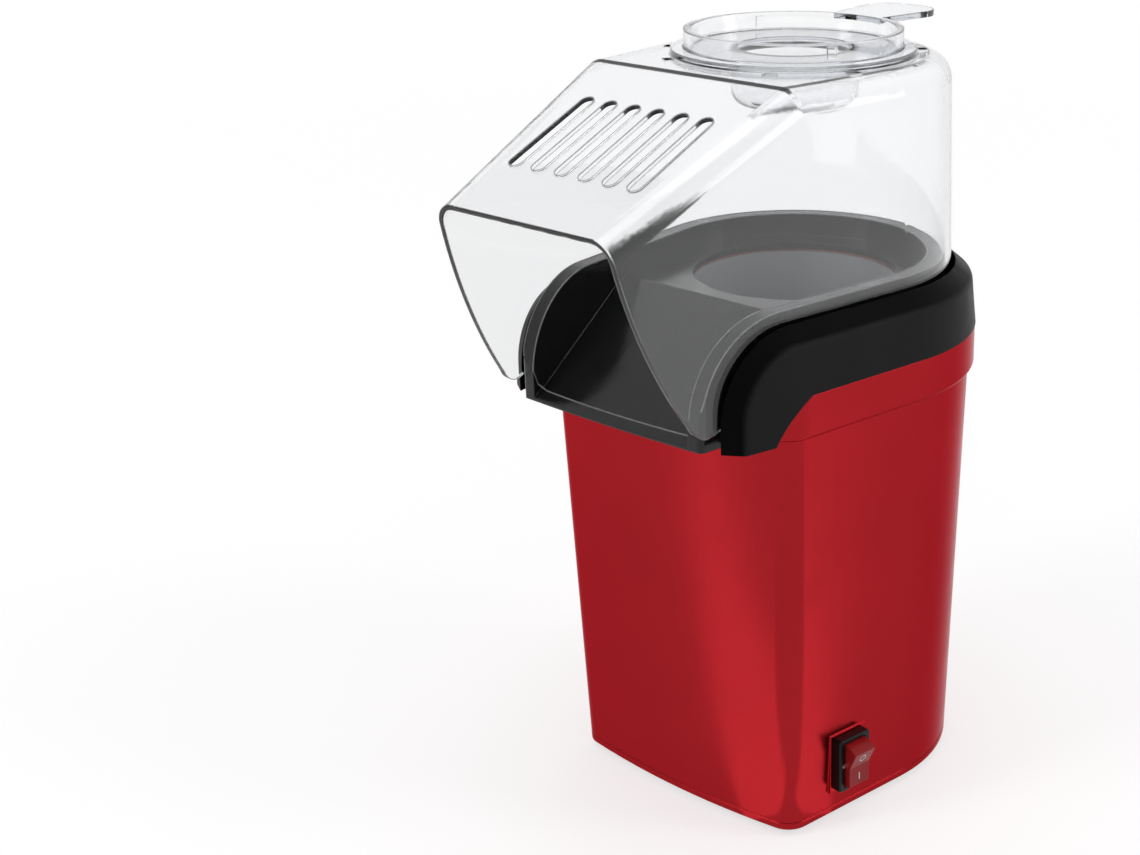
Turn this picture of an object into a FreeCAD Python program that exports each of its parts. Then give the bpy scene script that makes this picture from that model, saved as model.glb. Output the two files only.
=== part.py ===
import FreeCAD
import Part
import math
import os

# Hot-air popcorn maker, millimetres. Z is up and the chute opens towards -Y. Every piece is
# drawn about the popping chamber's axis, then moved so that the origin is on the floor under
# the middle of the whole object.

V = FreeCAD.Vector
UP = V(0, 0, 1)

# General sizes
SIDE_ANGLE = 7.7            # how much each side turns in towards the front, degrees
FRONT_BOW_R = 331.0         # plan radius of the bowed front face
SEAT_GAP = 0.3              # between a loose piece and its seat
FIT_GAP = 0.05              # between fixed round pieces
RUN_GAP = 0.03              # between the shaft and its bushes
REACH = 400.0               # longer than the whole object, for cutting tools
NEAR = 0.02                 # lengths closer than this count as alike
EDGE_SLACK = 1.0            # margin when picking edges by their place
FULL_TURN = 360.0
LEFT_REAR = 135.0           # middle of the left rear quarter, degrees from +X
RIGHT_REAR = 45.0           # middle of the right rear quarter

# Feet and base plate
FOOT_H = 2.0
FOOT_R = 6.5
FOOT_STEM_R = 2.5
FOOT_SPOTS = [(36.0, 27.0), (-36.0, 27.0), (34.0, -46.0), (-34.0, -46.0)]
BASE_T = 3.0
BASE_SLOT_W = 3.0
BASE_SLOT_L = 44.0
BASE_SLOT_PITCH = 6.0
BASE_SLOTS = 9

# Outer housing
HOUSING_TOP_Z = 156.0
HOUSING_HEAD_R = 65.0       # rear radius at the top
HOUSING_TAPER = 4.6
HOUSING_FOOT_R = HOUSING_HEAD_R - HOUSING_TAPER
HOUSING_HEAD_FRONT = 74.2   # front face distance at the top
FRONT_TAPER = 6.3
HOUSING_FOOT_FRONT = HOUSING_HEAD_FRONT - FRONT_TAPER
HOUSING_CORNER_R = 8.5
HOUSING_WALL = 2.0
HOUSING_EDGE = 1.2          # bevel round the bottom edge
GROOVE_RISE = 2.2           # shadow groove above the bottom edge
GROOVE_H = 0.6
GROOVE_D = 0.4
BASE_BOSS_R = 5.0
BASE_BOSS_H = 24.0
BASE_BOSS_INSET = 4.0       # boss axis in from the inner wall
BASE_BOSS_ANGLE = 48.0      # rear bosses, from +X
BASE_BOSS_FRONT_Y = -56.0
BAND_BOSS_H = 26.0
BAND_BOSS_INSET = 3.4
BAND_BOSS_ANGLE = 62.0
BAND_BOSS_FRONT_Y = -60.0

# Upper band
BAND_OUT = 2.1              # band beyond the housing at the rear and sides
BAND_FRONT_OUT = 2.0
BAND_R = HOUSING_HEAD_R + BAND_OUT
BAND_FRONT = HOUSING_HEAD_FRONT + BAND_FRONT_OUT
BAND_CORNER_R = HOUSING_CORNER_R + BAND_FRONT_OUT
BAND_WALL = 2.5
BAND_TOP_Z = 171.5
BAND_EDGE_R = 1.8
FLANGE_T = 3.0
FLANGE_ROOM = 1.0           # round the heater casing

# Collar, chute and hood share one bend where their level tops turn down to the front
BEND_Y = -64.5
BEND_MIDDLE = 135.0         # half way round the bend, degrees
BEND_END = 180.0            # end of the bend, pointing forward
COLLAR_IN = 7.8             # inner top edge in from the band
COLLAR_R = BAND_R - COLLAR_IN
COLLAR_TOP_Z = 194.5
BEND_R = 29.2               # bend radius of the collar's inner top edge
COLLAR_RIDGE_OUT = 6.3
COLLAR_RIDGE_DROP = 5.3
COLLAR_SKIRT_OUT = 8.4
COLLAR_SKIRT_DROP = 27.0
COLLAR_RIDGE_ROUND = 1.6    # length of the rounded ridge on each side
COLLAR_WALL = 2.2
COLLAR_ROOF = 1.6
LEDGE_DROP = 7.0
LEDGE_T = 3.0
LEG_BOTTOM_Z = 157.0
LEG_CAP_T = 1.6
LEG_BACK_Y = -77.2          # rear edge of the leg at its bottom
LEG_BACK_MID = (-71.0, 165.0)
LEG_BACK_TOP_Y = -61.7      # where the leg's rear edge meets the level lower edge
COLLAR_POST_R = 3.0
COLLAR_POST_ANGLE = 30.0
COLLAR_POST_Y = -45.0

# Chute tray
RIM_IN = 5.0                # rim in from the collar's inner top edge
RIM_R = COLLAR_R - RIM_IN
RIM_W = 5.5
RIM_TOP_Z = 198.0
SKIRT_WALL = 3.0
LIP_Y = -97.9
LIP_Z = 156.9
LIP_BOW_R = 800.0
LIP_CORNER_R = 2.0
LIP_EDGE_Y = -94.0          # inner edge of the lip, where the ramp starts
LIP_EDGE_Z = 159.8
FLOOR_TOP_Z = 189.5         # level floor round the chamber
FLOOR_T = 2.5
RAMP_GAP = 0.5              # from the heater casing to the top of the ramp
LIP_STEP = 0.8              # ramp set below the lip's border
WELL_CORNER_R = 2.5
CHUTE_POST_R = 3.5
CHUTE_POST_H = 17.0
CHUTE_POST_ANGLE = 65.0
CHUTE_POST_FRONT_Y = -58.0
CHUTE_POST_INSET = 2.8      # post axis in from the inside of the skirt

# Hood
HOOD_IN = 1.4               # hood in from the collar's inner top edge
HOOD_TAPER = 2.1
HOOD_R = COLLAR_R - HOOD_IN
HOOD_HEAD_R = HOOD_R - HOOD_TAPER
HOOD_TOP_Z = 269.5
HOOD_WALL = 2.0
HOOD_EDGE_R = 8.5
HOOD_FOLD_Y = -54.5
MOUTH_Y = -132.6            # upper edge of the mouth
MOUTH_DROP = 35.2           # upper edge of the mouth below the hood's top
MOUTH_Z = HOOD_TOP_Z - MOUTH_DROP
MOUTH_LOW = (-104.4, 168.2)
MOUTH_BOW_Y = -122.6        # middle of the bowed mouth edge
MOUTH_BOW_SHARE = 0.5113
MOUTH_MID = (MOUTH_BOW_Y, MOUTH_LOW[1] + MOUTH_BOW_SHARE * (MOUTH_Z - MOUTH_LOW[1]))
TOE_MID = (-102.0, 165.0)
TOE = (-98.0, 163.3)        # lowest point of the mouth corners
HEEL_MID = (-90.4, 166.3)
HEEL_ANGLE = 165.0          # where the heel meets the groove, round the bend
GROOVE_MIDDLE = 128.0       # half way along the groove's bend
VENT_COUNT = 6
VENT_PITCH = 10.7
VENT_W = 5.5
VENT_START = 24.0           # along the sloped panel from the mouth
VENT_END = 64.6
TOP_VENT_IN = 9.5
TOP_VENT_R = HOOD_HEAD_R - TOP_VENT_IN
TOP_VENT_L = 4.6
TOP_VENT_W = 3.0
TOP_VENT_ANGLES = [47.0, 77.0, 103.0, 133.0, 205.0, 240.0, 300.0, 335.0]
RING_IN = 12.2
RING_R = HOOD_HEAD_R - RING_IN      # locating ring for the cup
RING_W = 4.4
RING_H = 2.0

# Measuring cup
CUP_RIM_H = 8.3
CUP_RIM_W = 2.6
CUP_FLOOR_T = 1.8
CUP_WELL_R = 22.0
CUP_WELL_DEPTH = 19.5
CUP_WALL = 1.6
CUP_ROUND = 5.0
TAB_REACH = 72.0
TAB_W = 29.0
TAB_ROOT_W = 22.0
TAB_T = 2.2
TAB_ROUND = 11.0
LUG_ANGLES = [150.0, 330.0]
LUG_W = 3.0
LUG_H = 4.0
LUG_T = 1.2

# Popping chamber and its seal
FLOOR_LEDGE = 11.3          # level floor between the chamber and the chute's rim
CHAMBER_R = RIM_R - RIM_W - FLOOR_LEDGE     # inside radius
CHAMBER_WALL = 1.0
CHAMBER_BOTTOM_Z = 104.0
CHAMBER_ROUND = 8.0
CHAMBER_SLOTS = 18
CHAMBER_SLOT_W = 2.2
CHAMBER_SLOT_H = 12.0
CHAMBER_SLOT_Z = 114.0
CHAMBER_SLOT_TILT = 35.0
SEAL_T = 1.0
SEAL_W = 5.0
RIM_FLANGE_OUT = 12.5
RIM_FLANGE_R = CHAMBER_R + RIM_FLANGE_OUT
RIM_FLANGE_T = 1.0

# Heater
CASING_GAP = 5.7            # air space round the chamber
CASING_R = CHAMBER_R + CASING_GAP   # inside radius
CASING_WALL = 0.8
CASING_BOTTOM_Z = 72.0
CASING_LIP_IN = 3.2
CASING_LIP_R = CASING_R - CASING_LIP_IN
CASING_FLANGE_OUT = 6.3
CASING_FLANGE_R = CASING_R + CASING_FLANGE_OUT
CASING_FLANGE_T = 1.0
MICA_T = 1.0
MICA_H = 15.0
MICA_GAP = 0.3
COIL_WIRE_R = 2.0
COIL_START_R = 12.0
COIL_EDGE = 3.2             # from the coil's outer turn to the casing
COIL_TURNS_ACROSS = 4
COIL_PITCH = (CASING_R - COIL_START_R - COIL_EDGE) / COIL_TURNS_ACROSS
COIL_HALF_TURNS = 7
THERMOSTAT_R = 8.0
THERMOSTAT_L = 7.0
THERMOSTAT_Z = 118.0
THERMOSTAT_PLATE_W = 24.0
THERMOSTAT_PLATE_H = 9.0
THERMOSTAT_PLATE_T = 1.0
TERMINAL_W = 3.0
TERMINAL_T = 0.8
TERMINAL_L = 6.0
FUSE_R = 2.0
FUSE_L = 12.0
FUSE_Z = 96.0
FUSE_ANGLE = 62.0
FUSE_LEAD_R = 0.5
FUSE_LEAD_L = 6.0

# Fan and motor
FAN_HOUSING_IN = 2.2
FAN_HOUSING_R = CASING_R - FAN_HOUSING_IN   # inside radius
FAN_HOUSING_WALL = 2.5
FAN_HOUSING_Z = 50.0
FAN_FLANGE_T = 2.5
FAN_PLATE_T = 3.0
FAN_PLATE_R = 15.0
FAN_ARMS = 5
FAN_ARM_START = 90.0
FAN_ARM_W = 7.0
FAN_TIP_GAP = 3.0
FAN_R = FAN_HOUSING_R - FAN_TIP_GAP
FAN_HUB_R = 8.0
FAN_Z = 57.0
FAN_H = 12.0
FAN_BLADES = 7
FAN_BLADE_T = 1.4
FAN_BLADE_PITCH = 32.0
FAN_BLADE_W = 15.0
SHAFT_R = 1.15
SHAFT_BOTTOM_Z = 19.4
MOTOR_R = 14.0
MOTOR_WALL = 1.0
MOTOR_LENGTH = 30.0
MOTOR_FACE_T = 1.5
END_CAP_T = 2.0
END_CAP_PLUG = 2.0
BUSH_R = 3.0
BUSH_LONG = 5.0
BUSH_PROUD = 1.0
MAGNET_T = 2.1
MAGNET_SPAN = 120.0
MAGNET_H = 20.0
ARMATURE_R = 10.0
ARMATURE_H = 18.0
ARMATURE_SLOTS = 3
ARMATURE_SLOT_W = 2.4
ARMATURE_SLOT_D = 4.5
BOARD_R = 13.0
BOARD_T = 1.6
BOARD_HOLE_R = 4.0
TAG_OUT = 8.0
TAG_L = 3.4
DIODES = 4
DIODE_START = 45.0
DIODE_R = 1.4
DIODE_L = 5.0
DIODE_OUT = 9.0

# Screws
SCREW_R = 1.45
SCREW_HEAD_R = 2.7
SCREW_HEAD_H = 1.8
BASE_SCREW_L = 14.0
BAND_SCREW_L = 13.0
COLLAR_SCREW_L = 11.0
CHUTE_SCREW_L = 12.0
CHAMBER_SCREW_L = 4.6
CHAMBER_SCREW_IN = 3.0
CHAMBER_SCREW_OUT = RIM_FLANGE_R - CHAMBER_SCREW_IN
CHAMBER_SCREWS = 4
CHAMBER_SCREW_START = 45.0
DUCT_SCREW_L = 5.5
DUCT_SCREW_IN = 2.7
DUCT_SCREW_OUT = CASING_FLANGE_R - DUCT_SCREW_IN
DUCT_SCREWS = 3
DUCT_SCREW_START = 90.0
MOTOR_SCREW_OUT = 8.0
MOTOR_SCREW_R = 1.2
MOTOR_SCREW_HEAD_R = 2.1
MOTOR_SCREW_L = 4.2

# Rocker switch, in its own axes: u out of the wall, v along the wall, w up
SWITCH_Y = -37.8
SWITCH_Z = 24.0
PAD_W = 17.5
PAD_H = 23.5
PAD_PROUD = 0.5
BEZEL_W = 15.0
BEZEL_H = 21.0
BEZEL_PROUD = 3.6
BEZEL_ROUND = 1.2
SWITCH_BODY_W = 12.8
SWITCH_BODY_H = 18.8
SWITCH_DEPTH = 15.0
SWITCH_BACK_T = 2.0
ROCKER_W = 9.6
ROCKER_R = 8.6              # end faces, about the pin
ROCKER_GAP = 0.35
ROCKER_VALLEY = 2.9         # middle of the rocker's face, out from the pin
ROCKER_FACET = 13.0         # slope of each half of the face, degrees
ROCKER_TILT = 12.0          # turn from middle to pressed
ROCKER_BACK = 3.4           # rocker body behind the pin
PIN_DEPTH = 0.6             # pin axis behind the bezel's face
PIN_R = 1.0
BLADE_W = 4.8
BLADE_T = 0.8
BLADE_L = 7.0
BLADE_RISE = 4.5

# Cord gland
GLAND_Z = 20.0
GLAND_R = 5.0
GLAND_HEAD_R = 8.0
GLAND_HEAD_T = 2.5
GLAND_BORE_R = 3.3
GLAND_TAIL = 3.0

# Worked-out places
SIDE = math.radians(SIDE_ANGLE)
OUTWARD = V(math.cos(SIDE), -math.sin(SIDE), 0)     # normal of the right side
FORWARD = V(-math.sin(SIDE), -math.cos(SIDE), 0)    # along the right side to the front
BASE_Z = FOOT_H
BASE_TOP_Z = BASE_Z + BASE_T
FLANGE_TOP_Z = HOUSING_TOP_Z + FLANGE_T
BEND_Z = COLLAR_TOP_Z - BEND_R
LEDGE_TOP_Z = COLLAR_TOP_Z - LEDGE_DROP
HOOD_BOTTOM_Z = LEDGE_TOP_Z + SEAT_GAP
FLOOR_UNDER_Z = FLOOR_TOP_Z - FLOOR_T
CHAMBER_TOP_Z = FLOOR_UNDER_Z - SEAL_T
CASING_TOP_Z = CHAMBER_TOP_Z - RIM_FLANGE_T
CASING_OUT_R = CASING_R + CASING_WALL
RAMP_TOP_Y = -(CASING_OUT_R + RAMP_GAP)
MOTOR_TOP_Z = FAN_HOUSING_Z
MOTOR_BOTTOM_Z = MOTOR_TOP_Z - MOTOR_LENGTH
BOARD_TOP_Z = MOTOR_BOTTOM_Z - TAG_L
CUP_BASE_Z = HOOD_TOP_Z + SEAT_GAP
CUP_R = RING_R - RING_W - SEAT_GAP
FRAME_SHIFT = V(0, -(MOUTH_Y + TAB_REACH) / 2, 0)   # from the chamber's axis to the middle


def polar(radius, degrees, z=0.0):
    """Point at a radius and angle about the chamber axis."""
    angle = math.radians(degrees)
    return V(radius * math.cos(angle), radius * math.sin(angle), z)


def cylinder(radius, bottom, top, x=0.0, y=0.0):
    """Upright round bar between two heights."""
    return Part.makeCylinder(radius, top - bottom, V(x, y, bottom))


def tube(inner, outer, bottom, top):
    """Upright tube on the chamber axis."""
    return cylinder(outer, bottom, top).cut(cylinder(inner, bottom, top))


def outline(start, steps, place):
    """Closed wire of straight steps and (through, end) arc steps."""
    first = place(start)
    here = first
    edges = []
    for step in steps:
        if isinstance(step[0], tuple):
            there = place(step[1])
            edges.append(Part.Arc(here, place(step[0]), there).toShape())
        else:
            there = place(step)
            edges.append(Part.makeLine(here, there))
        here = there
    edges.append(Part.makeLine(here, first))
    return Part.Wire(edges)


def side_prism(start, steps, half_width=REACH):
    """Solid of a side view outline, given as (y, z), spread evenly to both sides."""
    wire = outline(start, steps, lambda p: V(-half_width, p[0], p[1]))
    return Part.Face(wire).extrude(V(2 * half_width, 0, 0))


def bend_point(radius, degrees):
    """Side view point on an arc about the shared bend centre, 90 up and 180 forward."""
    angle = math.radians(degrees)
    return (BEND_Y + radius * math.cos(angle), BEND_Z + radius * math.sin(angle))


def d_wire(rear_r, front, corner_r, z, bow_r=FRONT_BOW_R):
    """D-shaped plan outline: round rear, flat sides, rounded corners and bowed front."""
    bow_centre = V(0, bow_r - front, z)
    base = OUTWARD * (rear_r - corner_r) + V(0, 0, z)
    rel = base - bow_centre
    along = rel.dot(FORWARD)
    gap = rel.dot(rel) - (bow_r - corner_r) ** 2
    corner = base + FORWARD * (-along + math.sqrt(along * along - gap))
    side_back = OUTWARD * rear_r + V(0, 0, z)
    side_front = corner + OUTWARD * corner_r
    to_corner = (corner - bow_centre).normalize()
    front_end = corner + to_corner * corner_r
    corner_mid = corner + (OUTWARD + to_corner).normalize() * corner_r

    def left(p):
        return V(-p.x, p.y, p.z)

    rear = V(0, rear_r, z)
    nose = V(0, -front, z)
    edges = [
        Part.Arc(rear, polar(rear_r, LEFT_REAR, z), left(side_back)).toShape(),
        Part.makeLine(left(side_back), left(side_front)),
        Part.Arc(left(side_front), left(corner_mid), left(front_end)).toShape(),
        Part.Arc(left(front_end), nose, front_end).toShape(),
        Part.Arc(front_end, corner_mid, side_front).toShape(),
        Part.makeLine(side_front, side_back),
        Part.Arc(side_back, polar(rear_r, RIGHT_REAR, z), rear).toShape(),
    ]
    return Part.Wire(edges)


def d_prism(rear_r, front, corner_r, bottom, top, bow_r=FRONT_BOW_R):
    """Upright D-shaped solid."""
    face = Part.Face(d_wire(rear_r, front, corner_r, bottom, bow_r))
    return face.extrude(V(0, 0, top - bottom))


def d_loft(rear_r, front, corner_r, bottom, head_r, head_front, top):
    """D-shaped solid whose rear radius and front change evenly with height."""
    low = d_wire(rear_r, front, corner_r, bottom)
    high = d_wire(head_r, head_front, corner_r, top)
    return Part.makeLoft([low, high], True, True)


def sweep(spine, profile):
    """Solid of one closed profile carried along a smooth spine."""
    shell = Part.BRepOffsetAPI.MakePipeShell(spine)
    shell.add(profile)
    shell.build()
    shell.makeSolid()
    return shell.shape()


def side_x(rear_r, y):
    """Distance of the right side from the middle plane at a place along it."""
    return (rear_r + y * math.sin(SIDE)) / math.cos(SIDE)


def both_sides(points):
    """The same points and their mirror images."""
    return points + [V(-p.x, p.y, p.z) for p in points]


def screw(spot, length, upward, radius=SCREW_R, head_r=SCREW_HEAD_R):
    """Pan-head screw with its head's seat at spot, going up or down from it."""
    way = UP if upward else UP * -1
    head = Part.makeCylinder(head_r, SCREW_HEAD_H, spot, way * -1)
    return head.fuse(Part.makeCylinder(radius, length, spot, way)).removeSplitter()


def screw_hole(spot, length, upward, radius=SCREW_R):
    """Hole for a screw's shank."""
    way = UP if upward else UP * -1
    return Part.makeCylinder(radius + FIT_GAP, length + FIT_GAP, spot, way)


def cut_all(solid, tools):
    """Solid with every tool taken away."""
    return solid.cut(tools) if tools else solid


def fuse_all(solid, others):
    """Solid joined with others, without leftover seams."""
    return solid.fuse(others).removeSplitter()


def near(value, target):
    """Whether two lengths agree."""
    return abs(value - target) < NEAR


def turns(count, start=0.0):
    """Evenly spaced angles of one full turn, in degrees."""
    return [start + FULL_TURN * k / count for k in range(count)]


# Housing size at a height
def housing_r(z):
    """Outer rear radius of the housing at a height."""
    share = (z - BASE_Z) / (HOUSING_TOP_Z - BASE_Z)
    return HOUSING_FOOT_R + (HOUSING_HEAD_R - HOUSING_FOOT_R) * share


def housing_front(z):
    """Distance of the housing's front face at a height."""
    share = (z - BASE_Z) / (HOUSING_TOP_Z - BASE_Z)
    return HOUSING_FOOT_FRONT + (HOUSING_HEAD_FRONT - HOUSING_FOOT_FRONT) * share


def housing_form(bottom, top, inset):
    """Solid form of the housing between two heights, drawn in by an inset."""
    return d_loft(
        housing_r(bottom) - inset, housing_front(bottom) - inset,
        HOUSING_CORNER_R - inset, bottom,
        housing_r(top) - inset, housing_front(top) - inset, top)


def base_boss_spots():
    """Axes of the bosses that take the base screws."""
    inner = housing_r(BASE_TOP_Z) - HOUSING_WALL - BASE_BOSS_INSET
    rear = polar(inner, BASE_BOSS_ANGLE)
    front = V(side_x(inner, BASE_BOSS_FRONT_Y), BASE_BOSS_FRONT_Y, 0)
    return both_sides([rear, front])


def band_boss_spots():
    """Axes of the bosses that take the band screws."""
    inner = housing_r(HOUSING_TOP_Z) - HOUSING_WALL - BAND_BOSS_INSET
    rear = polar(inner, BAND_BOSS_ANGLE)
    front = V(side_x(inner, BAND_BOSS_FRONT_Y), BAND_BOSS_FRONT_Y, 0)
    return both_sides([rear, front])


def collar_post_spots():
    """Axes of the collar's screw posts."""
    rear = polar(COLLAR_R, COLLAR_POST_ANGLE)
    front = V(side_x(COLLAR_R, COLLAR_POST_Y), COLLAR_POST_Y, 0)
    return both_sides([rear, front])


def chute_post_spots():
    """Axes of the chute's screw posts."""
    inner = RIM_R - SKIRT_WALL - CHUTE_POST_INSET
    rear = polar(inner, CHUTE_POST_ANGLE)
    front = V(side_x(inner, CHUTE_POST_FRONT_Y), CHUTE_POST_FRONT_Y, 0)
    return both_sides([rear, front])


def chamber_screw_spots():
    """Axes of the screws that hold the chamber to the chute."""
    return [polar(CHAMBER_SCREW_OUT, t) for t in turns(CHAMBER_SCREWS, CHAMBER_SCREW_START)]


def duct_screw_spots():
    """Axes of the screws between heater casing and fan housing."""
    return [polar(DUCT_SCREW_OUT, t) for t in turns(DUCT_SCREWS, DUCT_SCREW_START)]


def motor_screw_spots():
    """Axes of the two motor screws."""
    return [V(MOTOR_SCREW_OUT, 0, 0), V(-MOTOR_SCREW_OUT, 0, 0)]


def at_height(spot, z):
    """A plan point moved to a height."""
    return V(spot.x, spot.y, z)


# Rocker switch frame
def switch_origin():
    """Point on the switch pad's face at the middle of the switch."""
    out = housing_r(SWITCH_Z + PAD_H / 2) + PAD_PROUD
    along = (-SWITCH_Y - out * math.sin(SIDE)) / math.cos(SIDE)
    return OUTWARD * out + FORWARD * along + V(0, 0, SWITCH_Z)


def to_switch(shape):
    """Carry a shape from the switch's own axes to the housing's side."""
    placed = shape.copy()
    placed.rotate(V(0, 0, 0), UP, -SIDE_ANGLE)
    placed.translate(switch_origin())
    return placed


def switch_block(u0, u1, width, height):
    """Box in the switch's axes, centred across and upright."""
    return Part.makeBox(u1 - u0, width, height, V(u0, -width / 2, -height / 2))


def pin_u():
    """Place of the rocker's pin in the switch's axes."""
    return BEZEL_PROUD - PIN_DEPTH


def outer_housing():
    """Red lower shell with its bosses, switch pad and holes."""
    edge_z = BASE_Z + HOUSING_EDGE
    low = d_loft(
        housing_r(BASE_Z) - HOUSING_EDGE, housing_front(BASE_Z) - HOUSING_EDGE,
        HOUSING_CORNER_R, BASE_Z,
        housing_r(edge_z), housing_front(edge_z), edge_z)
    form = low.fuse(housing_form(edge_z, HOUSING_TOP_Z, 0)).removeSplitter()
    pad = to_switch(switch_block(-HOUSING_WALL, 0, PAD_W, PAD_H))
    form = fuse_all(form, [pad])
    groove_z = edge_z + GROOVE_RISE
    groove = housing_form(groove_z, groove_z + GROOVE_H, -GROOVE_D).cut(
        housing_form(groove_z, groove_z + GROOVE_H, GROOVE_D))
    inside = housing_form(BASE_Z, HOUSING_TOP_Z, HOUSING_WALL)
    shell = form.cut([groove, inside])
    bosses = []
    for spot in base_boss_spots():
        bosses.append(cylinder(BASE_BOSS_R, BASE_TOP_Z, BASE_TOP_Z + BASE_BOSS_H, spot.x, spot.y))
    for spot in band_boss_spots():
        bosses.append(
            cylinder(BASE_BOSS_R, HOUSING_TOP_Z - BAND_BOSS_H, HOUSING_TOP_Z, spot.x, spot.y))
    shell = fuse_all(shell, [b.common(form) for b in bosses])
    holes = [screw_hole(at_height(s, BASE_TOP_Z), BASE_SCREW_L, True) for s in base_boss_spots()]
    holes += [screw_hole(at_height(s, HOUSING_TOP_Z), BAND_SCREW_L, False) for s in band_boss_spots()]
    holes.append(to_switch(switch_block(
        -SWITCH_DEPTH, SEAT_GAP, SWITCH_BODY_W + 2 * SEAT_GAP, SWITCH_BODY_H + 2 * SEAT_GAP)))
    holes.append(Part.makeCylinder(GLAND_R + SEAT_GAP, REACH, V(0, 0, GLAND_Z), V(0, 1, 0)))
    return cut_all(shell, holes)


def base_plate():
    """Floor of the housing with air slots, foot holes and screw seats."""
    gap = HOUSING_WALL + SEAT_GAP
    plate = d_prism(
        housing_r(BASE_Z) - gap, housing_front(BASE_Z) - gap,
        HOUSING_CORNER_R - gap, BASE_Z, BASE_TOP_Z)
    tools = []
    for k in range(BASE_SLOTS):
        x = (k - (BASE_SLOTS - 1) / 2) * BASE_SLOT_PITCH
        flat = BASE_SLOT_L - BASE_SLOT_W
        tools.append(Part.makeBox(
            BASE_SLOT_W, flat, BASE_T, V(x - BASE_SLOT_W / 2, -flat / 2, BASE_Z)))
        for end in (-flat / 2, flat / 2):
            tools.append(cylinder(BASE_SLOT_W / 2, BASE_Z, BASE_TOP_Z, x, end))
    for x, y in FOOT_SPOTS:
        tools.append(cylinder(FOOT_STEM_R + FIT_GAP, BASE_Z, BASE_TOP_Z, x, y))
    for spot in base_boss_spots():
        seat_z = BASE_Z + SCREW_HEAD_H
        tools.append(cylinder(SCREW_HEAD_R + SEAT_GAP, BASE_Z, seat_z, spot.x, spot.y))
        tools.append(cylinder(SCREW_R + FIT_GAP, seat_z, BASE_TOP_Z, spot.x, spot.y))
    return cut_all(plate, tools)


def rubber_feet():
    """Four push-in feet."""
    feet = []
    for x, y in FOOT_SPOTS:
        foot = cylinder(FOOT_R, 0, FOOT_H, x, y)
        stem = cylinder(FOOT_STEM_R, FOOT_H, BASE_TOP_Z, x, y)
        feet.append(foot.fuse(stem).removeSplitter())
    return Part.makeCompound(feet)


def upper_band():
    """Red band with the inner flange that carries collar and chute."""
    spine = d_wire(BAND_R, BAND_FRONT, BAND_CORNER_R, HOUSING_TOP_Z)
    turn = math.sqrt(0.5)

    def place(p):
        return V(0, BAND_R + p[0], HOUSING_TOP_Z + p[1])

    height = BAND_TOP_Z - HOUSING_TOP_Z
    edge = BAND_EDGE_R
    profile = outline(
        (0, height),
        [(0, edge), ((-edge * (1 - turn), edge * (1 - turn)), (-edge, 0)),
         (-BAND_WALL, 0), (-BAND_WALL, height)], place)
    wall = sweep(spine, profile)
    inset = BAND_WALL / 2 + edge / 2
    flange = d_prism(
        BAND_R - inset, BAND_FRONT - inset, BAND_CORNER_R - inset, HOUSING_TOP_Z, FLANGE_TOP_Z)
    flange = flange.cut(cylinder(CASING_OUT_R + FLANGE_ROOM, HOUSING_TOP_Z, FLANGE_TOP_Z))
    above_leg = side_prism(
        (REACH, BAND_TOP_Z),
        [(LEG_BACK_TOP_Y + SEAT_GAP, BAND_TOP_Z),
         ((LEG_BACK_MID[0] + SEAT_GAP, LEG_BACK_MID[1] - SEAT_GAP),
          (LEG_BACK_Y + SEAT_GAP, FLANGE_TOP_Z)),
         (-REACH, FLANGE_TOP_Z), (-REACH, REACH), (REACH, REACH)])
    chute_room = d_prism(
        RIM_R + SEAT_GAP, REACH / 2, LIP_CORNER_R, FLANGE_TOP_Z, REACH, REACH)
    band = wall.fuse(flange).removeSplitter().cut([above_leg, chute_room])
    holes = [screw_hole(at_height(s, HOUSING_TOP_Z), FLANGE_T, True)
             for s in band_boss_spots() + collar_post_spots() + chute_post_spots()]
    return cut_all(band, holes)


def collar_spine(drop_to):
    """Path of the collar's inner top edge, from one leg round the rear to the other."""
    back = OUTWARD * COLLAR_R + V(0, 0, COLLAR_TOP_Z)
    run = (-BEND_Y - COLLAR_R * math.sin(SIDE)) / math.cos(SIDE)
    start = back + FORWARD * run
    centre = start - V(0, 0, BEND_R)
    mid = centre + (FORWARD + UP).normalize() * BEND_R
    low = centre + FORWARD * BEND_R
    foot = V(low.x, low.y, drop_to)

    def left(p):
        return V(-p.x, p.y, p.z)

    rear = V(0, COLLAR_R, COLLAR_TOP_Z)
    edges = [
        Part.makeLine(foot, low),
        Part.Arc(low, mid, start).toShape(),
        Part.makeLine(start, back),
        Part.Arc(back, rear, left(back)).toShape(),
        Part.makeLine(left(back), left(start)),
        Part.Arc(left(start), left(mid), left(low)).toShape(),
        Part.makeLine(left(low), left(foot)),
    ]
    return Part.Wire(edges), foot


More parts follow.
